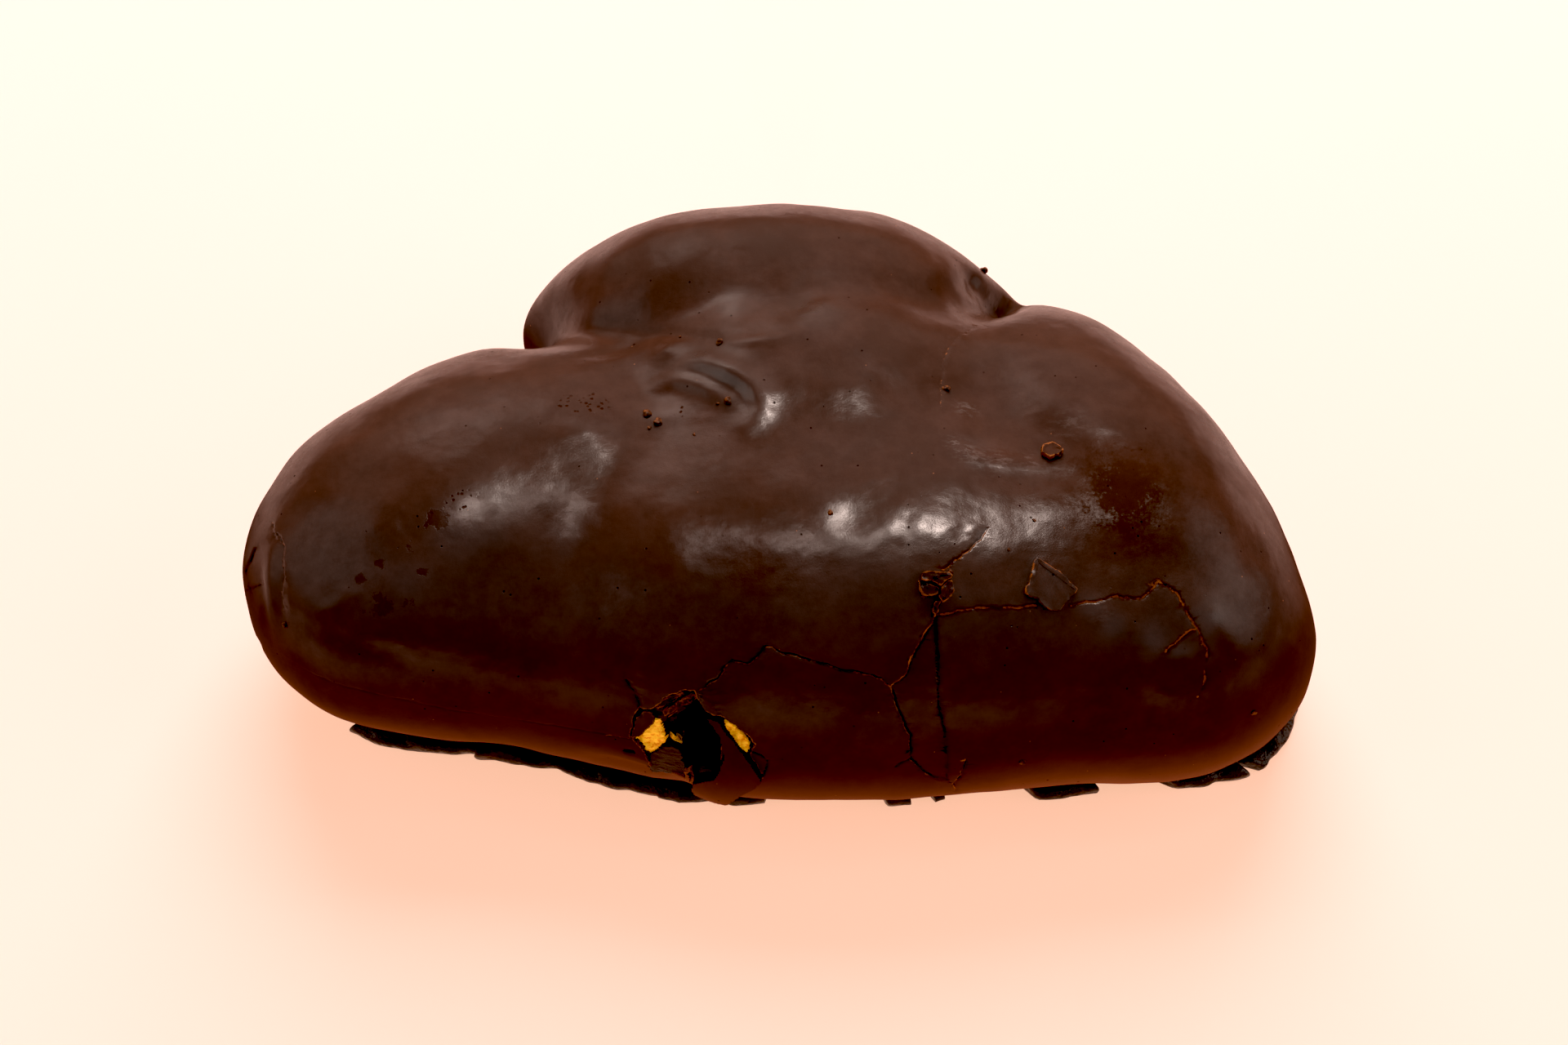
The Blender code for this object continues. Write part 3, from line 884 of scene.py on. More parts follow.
def read_marks(kind: type, table: str) -> tuple[Any, ...]:
    """Marks from a table.

    Args:
        kind: What each row becomes.
        table: Rows that end with a semicolon: pixels, then | and the kind's other values in their order,
            where those that keep their defaults may be left out. A line that starts with # is a comment.

    Returns:
        One mark a row.
    """
    lines = (line for line in table.splitlines() if not line.lstrip().startswith("#"))
    columns = (row.split("|") for row in " ".join(lines).split(";")[:-1])
    return tuple(kind(pairs(pixels), *map(float, values.split())) for pixels, values in columns)


@dataclass(frozen=True)
class Crack:
    """A crack in the coat, along pixels of the picture.

    step lifts the plate on its left over the one on its right, before both run level again; shade darkens
    the lower plate beside it.
    """

    pixels: Pixels
    width: float = 0.12
    depth: float = 0.22
    # dark paints shade into the crack; light paints a highlight along its edge
    dark: float = 0.9
    light: float = 0.6
    step: float = 0.08
    sway: float = 0.12
    shade: float = 0.0


@dataclass(frozen=True)
class Stroke:
    """A soft ridge, or with a negative height a dent, along pixels of the picture."""

    pixels: Pixels
    radius: float
    height: float


@dataclass(frozen=True)
class Plate:
    """A patch of the coat inside pixels of the picture, that sits higher or lower than what is round it."""

    pixels: Pixels
    height: float


@dataclass(frozen=True)
class Blot:
    """A round mark on the coat, at one pixel of the picture."""

    pixels: Pixels
    radius: float
    strength: float = 1.0


@dataclass(frozen=True)
class Exposed:
    """A patch of what shows through the break, inside pixels of the picture.

    lift raises it towards the coat, in millimetres; crumb says how much golden crumb it shows, and the next
    number how many pale swirls are painted on it as glints. A patch whose deep is 1 may lie on the walls of
    the channel.
    """

    pixels: Pixels
    lift: float
    crumb: float
    swirl_glint: float = 0.0
    deep: float = 0.0

    def covers(self, spots: Array) -> Array:
        """Which pixels lie in the patch."""
        return inside(np.array(self.pixels, float), spots)


CRACKS = read_marks(Crack, """
856,845 876,833 881,830 886,818 889,813 897,809 919,811 928,801 938,791 966,801 1013,815 1037,822 1079,831
    1091,841|0.12 0.22 0.9 0.55 -0.05;
1091,841 1108,829 1117,805 1126,786 1141,763 1145,749 1150,735|0.12 0.22 0.2 1 0.05;
1155,697 1174,683 1193,666 1211,645|0.08 0.12 0.5 0.6 0.01;
1091,841 1101,871 1108,890 1115,904 1115,930 1136,949 1167,959|0.12 0.22 1 0.45 0.06;
1115,930 1106,934 1096,940|0.12 0.22 0.6 0.3 0;
1145,753 1147,790 1148,824 1150,867 1157,900 1160,952|0.08 0.15 0.6 0 -0.12 0.08 0.45;
1145,753 1164,751 1193,746 1221,743 1240,745 1268,742|0.12 0.12 0.1 1 0.02;
1311,742 1344,737 1367,730 1396,735 1407,725 1419,711|0.12 0.12 0.1 0.9 0.02;
1419,711 1443,728 1450,749 1466,768 1476,796 1476,824 1473,843 1466,853|0.12 0.14 0.2 1 0.02;
1462,772 1450,779 1440,790 1429,798|0.09 0.12 0.4 0.9 0.01;
1183,930 1178,947 1169,956 1169,971|0.12 0.22 0.9 0.6 0.06;
766,830 776,843 783,858 785,878|0.12 0.22 0.4 0.35 0.05;
789,921 795,932 798,938 803,943|0.14 0.22 0.8 0.3 0.05;
918,922 927,925 934,930 940,935|0.1 0.22 0.9 0.3 0;
1199,386 1191,403 1168,419 1157,438 1153,468 1153,500|0.1 0.08 0 0.45 0.03;
345,803 397,829 450,847 497,859 562,870 649,885 714,896 770,905|0.14 0.1 0.35 0.1 0.05 0.06;
333,640 337,652 343,661 347,674 346,692 344,710 343,728 345,748|0.11 0.1 0.05 0.45 0.16 0.2;
300,700 306,686 312,672|0.14 0.15 0.6 0.2 0.1;
300,722 309,719 318,716|0.12 0.12 0.5 0.2 0.1;
764,922 770,924 777,924|0.32 0.45 1 0.3 0;
740,903 762,905 784,908|0.1 0.1 0 0.6 0.05;
940,931 938,940 934,953|0.1 0.22 0.2 0.6 0.04;
""")  # fmt: skip
STROKES = read_marks(Stroke, """
# crescents and lumps on the middle of the top
843,447 862,444 885,452 905,462 921,474 931,488 932,505 922,522|1.5 0.62;
838,456 862,460 885,470 905,480 915,494|0.9 -0.38;
805,473 822,466 839,465 858,468 876,478 889,490|1.1 0.38;
808,436 816,431 826,426|1.3 0.42;
884,384 900,371 918,360|2.2 0.34;
974,403 994,392 1012,377 1023,366|2.1 0.42;
893,420 925,417 955,416 972,408|0.8 0.2;
780,412 805,409 840,411 872,416|0.7 -0.22;
700,440 740,434 775,424 800,412|1.2 -0.25;
690,400 730,380 790,372|2.8 0.28;
940,345 985,335 1040,330|2.6 0.22;
# the dimple by the right notch and the rim below it
1186,334 1193,345 1200,356|1.7 -0.85;
1176,366 1190,372 1204,372|1.3 0.35;
1120,340 1140,330 1160,332|1.6 0.25;
# the scuffed flat place and its raised lower edge
1168,537 1178,552 1192,561 1220,563 1262,568 1300,566|1.2 0.32;
1180,520 1230,535 1290,540|3.2 -0.22;
1270,470 1310,500 1345,520|2.6 0.18;
# dimples that catch the light over the cracks
1072,670 1085,650 1092,630|2.4 0.22;
1108,690 1106,665 1109,642 1114,628|0.4 -0.15;
1120,668 1126,650 1130,634|1.6 0.14;
1160,654 1170,640|0.5 0.18;
1172,656 1179,648 1184,638|0.35 -0.2;
1187,652 1197,644|0.6 0.2;
1030,640 1044,634 1056,628|1.8 -0.2;
# lumps at the right
1336,742 1352,752 1366,768|1.6 0.3;
1384,762 1398,778 1414,786|1.7 0.24;
1440,800 1450,806|1.2 0.22;
1476,742 1488,760 1494,780|1.9 0.26;
1402,848 1412,866 1420,884|1.3 -0.25;
1424,844 1436,858|1.3 0.18;
# the smeared boundary low on the left
372,766 430,786 480,802 510,822 560,830|1.6 -0.22;
330,690 326,720 332,760|1.3 0.35;
318,700 322,735 326,780|0.9 -0.25;
# highlights on the left lobe
464,640 520,618 584,604|4.2 0.16;
476,724 500,712 520,702|3.2 0.2;
700,515 712,528 718,542|1.6 0.25;
760,515 800,512 836,506|2.4 0.26;
# the lip by the break, drawn up and dented
720,938 748,944 778,951 812,959 846,968|2.6 -1.5;
779,926 786,930 794,934|0.5 0.14;
""")  # fmt: skip
PLATES = read_marks(Plate, """
1091,841 1108,829 1117,805 1126,786 1141,763 1145,753 1147,790 1148,824 1150,867 1157,900 1160,955 1136,949
    1115,930 1115,904 1108,890 1101,871|-0.22;
856,849 866,846 874,852 880,862 881,876 868,876 860,866|0.16;
300,700 312,672 336,655 347,668 347,703 350,760 318,800|-0.1;
""")  # fmt: skip
STAINS = read_marks(Blot, """
536,636|1.5; 442,710|0.8 0.9; 467,690|0.9 0.8; 519,699|0.9 0.8; 464,732|1 0.9; 470,745|1.4 0.8;
448,746|1.2 0.6; 500,738|1.4 0.5; 503,672|0.9 0.7; 1000,560|0.6 0.6;
""")  # fmt: skip
PITS = read_marks(Blot, """
560,614|2.4 0.7; 585,604|2 0.6; 532,626|2 0.5; 700,500|2.6 0.8; 730,497|2.4 0.8; 750,510|1.8 0.6;
836,505|1.6 0.8; 664,518|1.6 0.6; 990,392|1.6 0.6; 1200,400|2.4 0.6; 1170,405|2 0.5; 950,600|3 0.3;
940,418|1.6 0.5; 1240,430|3 0.4;
""")  # fmt: skip
GLOSS = read_marks(Blot, """
850,448|2.8 1.4; 880,462|2.8 1.4; 915,480|2.6 1.4; 928,505|2.2 1.4; 900,372|2.8 1.3; 1000,385|2.8 1.4;
940,395|2.4 0.9; 1050,640|2; 1078,648|2.6; 1115,648|2.4; 1150,650|2; 1190,652|2.2; 590,620|3.6 0.7;
560,650|3 0.5; 500,712|2.6 0.4; 820,510|2.4 0.7; 712,528|1.6 0.8; 1338,743|1.5; 1362,766|1.4; 1410,784|1.6;
1445,802|1.2; 1190,548|1.8; 1320,515|1.6 0.8; 1482,755|2 0.7; 322,720|2 0.6; 680,430|2.6 0.5; 740,325|3 0.5;
""")  # fmt: skip
DULL = read_marks(Blot, """
1380,605|8; 900,668|6 0.5; 850,684|5 0.4; 960,662|4 0.3;
""")  # fmt: skip
# pale scuffs; the blots at 1183,650, 1122,652 and 1350,752 paint highlights on bright spots
SCUFFS_AND_HIGHLIGHTS = read_marks(Blot, """
1183,500|0.9; 1172,543|0.9; 1184,553|1.1; 1196,561|1 0.9; 1225,564|1.4 0.7; 1262,566|1.2 0.6;
1183,650|1.4 0.9; 1122,652|1.2 0.7; 1310,520|1.6 0.5; 1350,752|1 0.5;
""")  # fmt: skip
# dark crushed coat and painted shade under the upper edge
EXPOSED = read_marks(Exposed, """
# dark crushed coat under the upper edge
776,866 800,858 820,850 838,846 832,862 822,872 816,885 808,882 803,880 797,874|1 0 0.25;
# golden crumb at both sides, and loose crumbs between
800,880 809,880 812,891 815,901 815,909 808,915 797,922 794,930 784,922 777,911 778,901 789,890|1 1;
884,881 894,884 903,892 911,900 918,907 918,917 915,923 907,918 901,911 896,903 889,892|1.1 1;
819,896 826,891 836,897 843,908 838,914 828,909 820,903|0.5 0.66 0 1;
826,884 836,882 846,886 842,891 830,889|0.3 0.66 0 1;
# smeared cream below them, and its glint at the foot of the channel
785,917 798,923 812,914 824,914 834,920 842,936 848,948 838,951 820,947 798,945 788,934|1.15 0 1;
852,940 862,931 880,932 886,944 880,955 862,956|0 0 1 1;
""")  # fmt: skip

# Outlines on the long side: x and height, as seen from that side
BREAK = pairs(
    "-15.6,15.4 -15.05,18.3 -14.3,19.3 -13.2,19.35 -12.1,20.6 -11.2,21.5 -8.7,22.3 -7.6,20.5 -5.4,19.9 "
    "-2.9,17.7 -2.45,16.4 -2.65,15 -1.3,11.5 -2.3,9.75 -4,8 -5,5.7 -7.6,5.3 -9.3,6.6 -9.7,9.4 -13.3,9.8 "
    "-13.9,13.4"
)
FLAP = pairs(
    "-7.3,19.4 -6.2,19.2 -4.5,16.8 -3,14.4 -1.5,11.3 -2.5,10 -4.2,8.3 -5.3,6.1 -7.5,5.7 -8.9,7 -9,10.3 "
    "-6.6,11.1 -5.9,12.8 -5.6,14.7 -6.1,17.4"
)
SIDE_PIECE = pairs("-15.45,15.6 -14.9,18.2 -14.2,19.15 -13.2,19.15 -13.1,17.9 -14.3,16.2")
UPPER_PIECE = pairs("-13,19.5 -11.3,20.9 -8.9,21.8 -8.3,20.8 -9.9,19.8 -11.9,18.6")
CHANNEL = pairs(
    "-8.1,21.4 -7.6,19.6 -6.3,18.2 -6,16.2 -5.9,12.6 -6.8,10.6 -8.9,9.8 -9.9,11.2 -10.2,15.2 -11.6,16.1 "
    "-10,18.6"
)


def ragged_outline(outline: Sequence[Sequence[float]], spacing: float, sway: float, seed: int) -> Array:
    """A closed outline with a torn edge, in metres."""
    corners = np.array([*outline, outline[0]]) * MM
    flat = np.column_stack([corners, np.zeros(len(corners))])
    return Track.ragged(flat, spacing, sway, seed).points[:-1, :2]


def edge_distance(outline: Array, places: Array) -> Array:
    """The distance of 2D places from a closed outline."""
    closed = np.vstack([outline, outline[:1]])
    track = Track(np.column_stack([closed, np.zeros(len(closed))]))
    return track.measure(np.column_stack([places, np.zeros(len(places))]))[0]


@dataclass
class Surface:
    """The coat's outer face: the skin with everything that marks it.

    Each entry of unevenness is a wavelength, a seed and a height. A plate only moves what faces the camera
    by more than facing. A crack marks the coat no further than crack_reach from it, and its step, its shade
    and its light rim have widths of their own. Over the lip the marks are flatter until they are calm above
    it; along drawn_up the lip rises, and the rise dies out over fade_in, fade_out and, upwards, fade_up.
    """

    skin: Skin
    sight: Sight
    unevenness: tuple[tuple[float, int, float], ...] = ((15.0, 3, 0.16), (6.5, 5, 0.055), (2.6, 9, 0.012))
    facing: float = 0.05
    crack_spacing: float = 0.3
    crack_seed: int = 40
    crack_reach: float = 2.5
    wobble: Swell = Swell(1.8, 77)
    step_width: float = 1.4
    shade_width: float = 0.7
    rim_width: float = 0.12
    rim_offset: float = 0.1
    lip: float = 1.8
    lip_calm: float = 2.0
    lip_round: float = 0.9
    lip_rise: float = 1.6
    tucked: float = 0.8
    drawn_up: tuple[float, float] = (-54.0, -8.6)
    fade_in: float = 9.0
    fade_out: float = 1.2
    fade_up: float = 3.0
    drawn_front: float = -20.0
    tracks: list[Track] = field(default_factory=list)
    ridges: list[Track] = field(default_factory=list)

    def __post_init__(self) -> None:
        """Lays the cracks and the strokes out on the skin."""
        for seed, (crack, corners) in enumerate(zip(CRACKS, self.lines(CRACKS)), self.crack_seed):
            self.tracks.append(Track.ragged(corners, self.crack_spacing, crack.sway, seed))
        self.ridges += [Track(corners) for corners in self.lines(STROKES)]

    def lines(self, drawn: Sequence[Any]) -> list[Array]:
        """The lines of several marks, carried onto the skin together."""
        counts = np.cumsum([len(mark.pixels) for mark in drawn])
        places = self.sight.onto(self.skin, [pixel for mark in drawn for pixel in mark.pixels])
        return np.split(places, counts[:-1])

    def spread(self, blots: Sequence[Blot], points: Array) -> Array:
        """How strongly round marks cover points, 0 to 1."""
        cover = np.zeros(len(points))
        for blot, place in zip(blots, self.lines(blots)):
            away = np.linalg.norm(points - place, axis=1)
            cover = np.maximum(cover, blot.strength * bell(away, blot.radius * MM))
        return cover

    def near_crack(self, points: Array, margin: float, finest: bool) -> Array:
        """Which points are within a margin, in millimetres, of a crack; the finest leaves out hair cracks."""
        close = np.zeros(len(points), bool)
        for crack, track in zip(CRACKS, self.tracks):
            if finest and crack.depth < HAIR_DEPTH:
                continue
            found = track.near(points, margin * MM)
            close[found] |= track.measure(points[found])[0] < margin * MM
        return close

    def relief(self, points: Array, normals: Array) -> tuple[Array, Array, Array]:
        """How far the coat stands out from the skin at points on it, and the shade and light painted at its
        cracks.

        Args:
            points: Points on the skin.
            normals: The skin's outward normals there.

        Returns:
            The height in metres, and from 0 to 1 the painted shade of the cracks and painted light on their
            edges.
        """
        height, dark, light = (np.zeros(len(points)) for _ in range(3))
        for wavelength, seed, depth in self.unevenness:
            height += Swell(wavelength, seed).at(points) * depth * MM
        for stroke, track in zip(STROKES, self.ridges):
            found = track.near(points, 3 * stroke.radius * MM)
            away, along, _, _ = track.measure(points[found])
            fade = 0.55 + 0.45 * np.sin(math.pi * np.clip(along, 0.0, 1.0))
            height[found] += stroke.height * MM * bell(away, stroke.radius * MM) * fade
        spots = self.sight.pixels_of(points)
        facing = normals @ self.sight.axes()[2] > self.facing
        for plate in PLATES:
            height[facing & inside(np.array(plate.pixels), spots)] += plate.height * MM
        for crack, track in zip(CRACKS, self.tracks):
            found = track.near(points, self.crack_reach * MM)
            away, along, offset, heading = track.measure(points[found])
            side = np.sign((np.cross(normals[found], heading) * offset).sum(axis=1))
            wobble = np.clip(0.85 + 0.22 * self.wobble.at(points[found]), 0.35, 1.2)
            taper = soft_step(np.minimum(along, 1 - along), 0.0, 0.06)
            width = crack.width * MM * (0.6 + 0.5 * wobble) * (0.35 + 0.65 * taper)
            lifted = side * 0.5 * crack.step * bell(away, self.step_width * MM) * (0.3 + 0.7 * taper)
            height[found] += (lifted - crack.depth * bell(away, width) * (0.4 + 0.6 * taper)) * MM
            # painted shade: in the crack, and fading onto the lower plate beside a step
            beside = np.where(side * crack.step < 0, np.exp(-away / (self.shade_width * MM)), 0.0)
            dim = np.maximum(crack.dark * wobble * bell(away, 0.75 * width), crack.shade * beside * taper)
            dark[found] = np.maximum(dark[found], dim)
            # painted highlight along the lit edge of the crack
            aside = (self.rim_offset if crack.dark > 0.3 else 0.0) * MM
            rim = bell(side * away + aside, self.rim_width * MM)
            light[found] = np.maximum(light[found], 1.15 * crack.light * wobble * rim)
        return height, dark, light

    def settle(self, points: Array) -> tuple[Array, Array, Array]:
        """Carries points onto the coat's outer face.

        Args:
            points: Points near the skin.

        Returns:
            The points on the face, and the painted shade and painted light of its cracks there.
        """
        placed = self.skin.settle(points)
        normals = self.skin.outward(placed)
        height, dark, light = self.relief(placed, normals)
        calm = soft_step(placed[:, 2], self.lip * MM, (self.lip + self.lip_calm) * MM)
        placed = placed + normals * (height * (0.3 + 0.7 * calm))[:, None]
        rounding = self.lip_round * MM
        short = np.clip(self.lip * MM + rounding - placed[:, 2], 0.0, rounding)
        tuck = rounding - np.sqrt(rounding**2 - short**2)
        level = unit(normals * np.array([1.0, 1.0, 0.0]))
        placed = placed - level * tuck[:, None] * self.tucked
        (start, end), east = self.drawn_up, placed[:, 0] / MM
        drawn = soft_step(east, start, start + self.fade_in) * soft_step(-east, -end, self.fade_out - end)
        upward = np.exp(-(placed[:, 2] / MM - self.lip) / self.fade_up)
        drawn *= self.lip_rise * upward * in_front(placed, self.drawn_front)
        placed[:, 2] += drawn * MM
        return placed, dark, light


@dataclass
class Coat:
    """The chocolate coat: a shell, open below, with its cracks, relief and the break in its long side.

    Its faces are split in turns, within a margin of each crack and another of the break; window is the middle
    and half the length of the stretch that holds the break.
    """

    surface: Surface
    thickness: float = 1.4
    radii: tuple[float, float, float] = (59.0, 36.5, 20.5)
    detail: int = 7
    crack_bands: tuple[float, ...] = (0.6, 0.33, 0.19)
    break_bands: tuple[float, ...] = (1.1, 0.6, 0.32)
    window: tuple[float, float] = (-8.0, 12.0)
    torn_light: float = 0.6
    torn_width: float = 0.14
    dull_margin: float = 0.26

    def build(self, finish: bpy.types.Material) -> None:
        """Builds the coat."""
        skin, lip = self.surface.skin, self.surface.lip * MM
        coat = Bench.ball("chocolate_coat_shell", self.detail, skin.middle, np.array(self.radii) * MM)
        Bench.put(coat, skin.settle(Bench.points(coat)))
        with Bench.editing(coat):
            bpy.ops.mesh.bisect(plane_co=(0, 0, lip), plane_no=(0, 0, 1), clear_inner=True)
        torn = ragged_outline(BREAK, 0.3, 0.16, 7)
        for turn, margins in enumerate(zip(self.crack_bands, self.break_bands)):
            Bench.refine(coat, lambda middles: self._busy(middles, torn, margins, turn == 2))
        placed, dark, light = self.surface.settle(Bench.points(coat))
        placed[:, 2] = np.maximum(placed[:, 2], lip)
        Bench.put(coat, placed)
        edge = edge_distance(torn, placed[:, [0, 2]]) / MM + np.where(in_front(placed), 0.0, 99.0)
        # painted light along the torn edge of the break
        light = np.maximum(light, self.torn_light * bell(edge, self.torn_width))
        self._paint(coat, placed, dark, light)
        Bench.drop_faces(coat, lambda middles: in_front(middles) & inside(torn, middles[:, [0, 2]]))
        Bench.thicken(coat, self.thickness)
        Bench.smooth(coat)
        Bench.hand_over(coat, finish, "chocolate", "chocolate_coat")

    def _busy(self, middles: Array, torn: Array, margins: tuple[float, float], finest: bool) -> Array:
        """Which faces lie within a margin of a crack, or within another of the torn edge."""
        near = self.surface.near_crack(middles, margins[0], finest)
        middle, half = self.window
        window = in_front(middles) & (np.abs(middles[:, 0] - middle * MM) < half * MM)
        found = np.flatnonzero(window)
        near[found] |= edge_distance(torn, middles[found][:, [0, 2]]) < margins[1] * MM
        return near

    def _paint(self, coat: bpy.types.Object, points: Array, dark: Array, light: Array) -> None:
        """Keeps the marks of the coat at its vertices."""
        # painted shade in the cracks, and painted light along their edges and the torn edge
        Bench.paint(coat, "crevice_shade", dark)
        Bench.paint(coat, "edge", light)
        for name, blots in (("stain", STAINS), ("pits", PITS), ("scuff_and_highlight", SCUFFS_AND_HIGHLIGHTS)):
            Bench.paint(coat, name, self.surface.spread(blots, points))
        cracked = self.surface.near_crack(points, self.dull_margin, True)
        dull = np.maximum(cracked, self.surface.spread(DULL, points))
        Bench.paint(coat, "gloss", self.surface.spread(GLOSS, points) - dull)


@dataclass
class BrokenPiece:
    """A piece broken out of the coat, pushed in or leaning out about its upper edge."""

    surface: Surface
    name: str
    outline: Sequence[Sequence[float]]
    push: float
    lean: float
    node: str
    seed: int
    light: float
    thickness: float = 1.4
    spacing: float = 0.14
    torn_width: float = 0.14

    def build(self, finish: bpy.types.Material) -> None:
        """Builds the piece."""
        torn = ragged_outline(self.outline, 0.3, 0.10, self.seed)
        low, high = torn.min(axis=0), torn.max(axis=0)
        size, middle = high - low, (low + high) / 2
        columns, rows = np.maximum(4, (size / (self.spacing * MM)).astype(int)).tolist()
        sheet = {"x_subdivisions": columns, "y_subdivisions": rows, "size": 1.0, "calc_uvs": False}
        place = {"location": (middle[0], -40 * MM, middle[1]), "rotation": (math.pi / 2, 0, 0)}
        stretch = (size[0], size[1], 1.0)
        piece = Bench.primitive(bpy.ops.mesh.primitive_grid_add, self.name, stretch, **sheet, **place)
        Bench.drop_faces(piece, lambda middles: ~inside(torn, middles[:, [0, 2]]))
        flat = Bench.points(piece)
        placed, dark, light = self.surface.settle(self.surface.skin.front(flat[:, [0, 2]]))
        edge = edge_distance(torn, flat[:, [0, 2]]) / MM
        Bench.put(piece, placed)
        # painted light along the torn edge and the cracks, and painted shade in the cracks
        Bench.paint(piece, "edge", np.maximum(light * 0.5, self.light * bell(edge, self.torn_width)))
        Bench.paint(piece, "crevice_shade", dark * 0.5)
        Bench.thicken(piece, self.thickness)
        self._lean(piece)
        Bench.smooth(piece, 50.0)
        Bench.hand_over(piece, finish, "chocolate", self.node)

    def _lean(self, piece: bpy.types.Object) -> None:
        """Pushes the piece along Y and leans it about its upper edge."""
        places = Bench.points(piece)
        top = places[places[:, 2].argmax()]
        Bench.face_outward(piece)
        turn = np.array(Matrix.Rotation(math.radians(self.lean), 3, "X"))
        Bench.put(piece, (places - top) @ turn.T + top + np.array([0, self.push * MM, 0]))


@dataclass
class Pastry:
    """The pastry under the coat, torn open in front, with the channel that runs through it.

    The channel starts at mouth along Y, in front of the bun, with smooth walls up to smooth_to, and narrows
    from narrow_from to its end. Round the tear the faces are split in turns, within each of its margins.
    """

    skin: Skin
    sight: Sight
    inset: float = 1.7
    lip: float = 1.8
    wall: float = 8.0
    cream_floor: float = 7.0
    play: float = 0.3
    radii: tuple[float, float, float] = (57.0, 34.5, 18.5)
    tear: tuple[float, float] = (-8.0, 14.0)
    tear_margins: tuple[float, ...] = (13.0, 11.0, 9.5, 8.5)
    tear_radius: float = 8.0
    mouth: float = -38.0
    smooth_to: float = -36.5
    narrow_from: float = -34.0
    channel_end: float = -23.0
    channel_steps: int = 18
    narrowing: float = 0.25
    roughness: float = 0.28
    smear_front: float = -22.0

    def body(self, name: str, detail: int, inward: float, floor: float) -> bpy.types.Object:
        """A closed body that lies a distance inside the skin, flat below."""
        ball = Bench.ball(name, detail, self.skin.middle, np.array(self.radii) * MM)
        self._draw_in(ball, self.skin.settle(Bench.points(ball)), 0.0, inward, floor)
        return ball

    def _draw_in(
        self, ball: bpy.types.Object, places: Array, inset: float, inward: float, floor: float
    ) -> None:
        """Gives a body these places, moved in from the skin and towards the heart, and flattened below."""
        ways = unit(places - self.skin.middle)
        places = places - self.skin.outward(places) * inset * MM - ways * inward * MM
        places[:, 2] = np.maximum(places[:, 2], floor * MM)
        Bench.put(ball, places)

    def channel(self) -> bpy.types.Object:
        """The tool that bores the channel: its outline, drawn in along +Y with rough walls."""
        torn = ragged_outline(CHANNEL, 0.45, 0.2, 21)
        ring = {"vertices": len(torn), "radius": 1.0, "fill_type": "NGON", "rotation": (math.pi / 2, 0, 0)}
        tool = Bench.primitive(bpy.ops.mesh.primitive_circle_add, "channel_tool", **ring)
        Bench.put(tool, np.column_stack([torn[:, 0], np.full(len(torn), self.mouth * MM), torn[:, 1]]))
        move = {"value": (0, (self.channel_end - self.mouth) * MM / self.channel_steps, 0)}
        with Bench.editing(tool):
            for _ in range(self.channel_steps):
                bpy.ops.mesh.extrude_region_move(TRANSFORM_OT_translate=move)
        places = Bench.points(tool)
        deep = soft_step(places[:, 1], self.narrow_from * MM, self.channel_end * MM)
        middle = np.array([torn[:, 0].mean(), 0.0, torn[:, 1].mean()])
        shrink = (places - middle) * np.array([1.0, 0.0, 1.0]) * (deep * self.narrowing)[:, None]
        waves = [Swell(2.2, seed).at(places) for seed in (31, 32, 33)]
        rough = np.stack(waves, axis=-1) * self.roughness * MM
        rough[in_front(places, self.smooth_to)] = 0.0
        Bench.put(tool, places - shrink + rough)
        Bench.face_outward(tool)
        tool.hide_render = True
        return tool

    def build(self, finish: bpy.types.Material, tool: bpy.types.Object) -> None:
        """Builds the pastry."""
        pastry = Bench.ball("torn_pastry", 5, self.skin.middle, np.array(self.radii) * MM)
        Bench.put(pastry, self.skin.settle(Bench.points(pastry)))
        for margin in self.tear_margins:
            Bench.refine(pastry, lambda middles: self._from_tear(middles) < margin * MM)
            Bench.put(pastry, self.skin.settle(Bench.points(pastry)))
        self._draw_in(pastry, Bench.points(pastry), self.inset, 0.0, self.lip)
        places = Bench.points(pastry)
        torn = np.exp(-((self._from_tear(places) / (self.tear_radius * MM)) ** 4))
        crumbs = Swell(1.1, 51).at(places) * 0.16 + Swell(0.55, 52).at(places) * 0.10 + 0.05
        ways = self.skin.outward(self.skin.settle(places))
        lift = crumbs * torn
        for patch in EXPOSED:
            raised = places + ways * patch.lift * MM
            within = patch.covers(self.sight.pixels_of(raised)) & in_front(places)
            lift[within] = patch.lift + crumbs[within] * (0.7 if patch.crumb else 0.25)
        Bench.put(pastry, places + ways * (lift * MM)[:, None])
        room = self.body("cream_room", 4, self.wall, self.cream_floor)
        Bench.cut(pastry, room)
        Bench.cut(pastry, tool)
        bpy.data.objects.remove(room)
        self._paint(pastry)
        Bench.smooth(pastry, 60.0)
        Bench.hand_over(pastry, finish, "crumb", "pastry")

    def _paint(self, pastry: bpy.types.Object) -> None:
        """Keeps at the vertices where the crumb shows clean, elsewhere painted dark as smear and shade, and
        its glints.
        """
        places = Bench.points(pastry)
        spots = self.sight.pixels_of(places)
        front = in_front(places, self.smear_front)
        shallow = -self.skin.gap(places) / MM < self.inset + 0.5
        # dark by default, as smear and painted shade; the patches set where golden crumb shows
        smear_and_shade, swirl_glint = np.ones(len(places)), np.zeros(len(places))
        for patch in EXPOSED:
            within = front & patch.covers(spots) & (shallow | bool(patch.deep))
            smear_and_shade[within] = 1.0 - patch.crumb
            swirl_glint[within] = patch.swirl_glint
        Bench.paint(pastry, "smear_and_shade", smear_and_shade)
        Bench.paint(pastry, "swirl_glint", swirl_glint)

    def _from_tear(self, places: Array) -> Array:
        """How far places are from the middle of the tear."""
        middle = self.skin.front(np.array([self.tear]) * MM)[0]
        return np.linalg.norm(places - middle, axis=1)

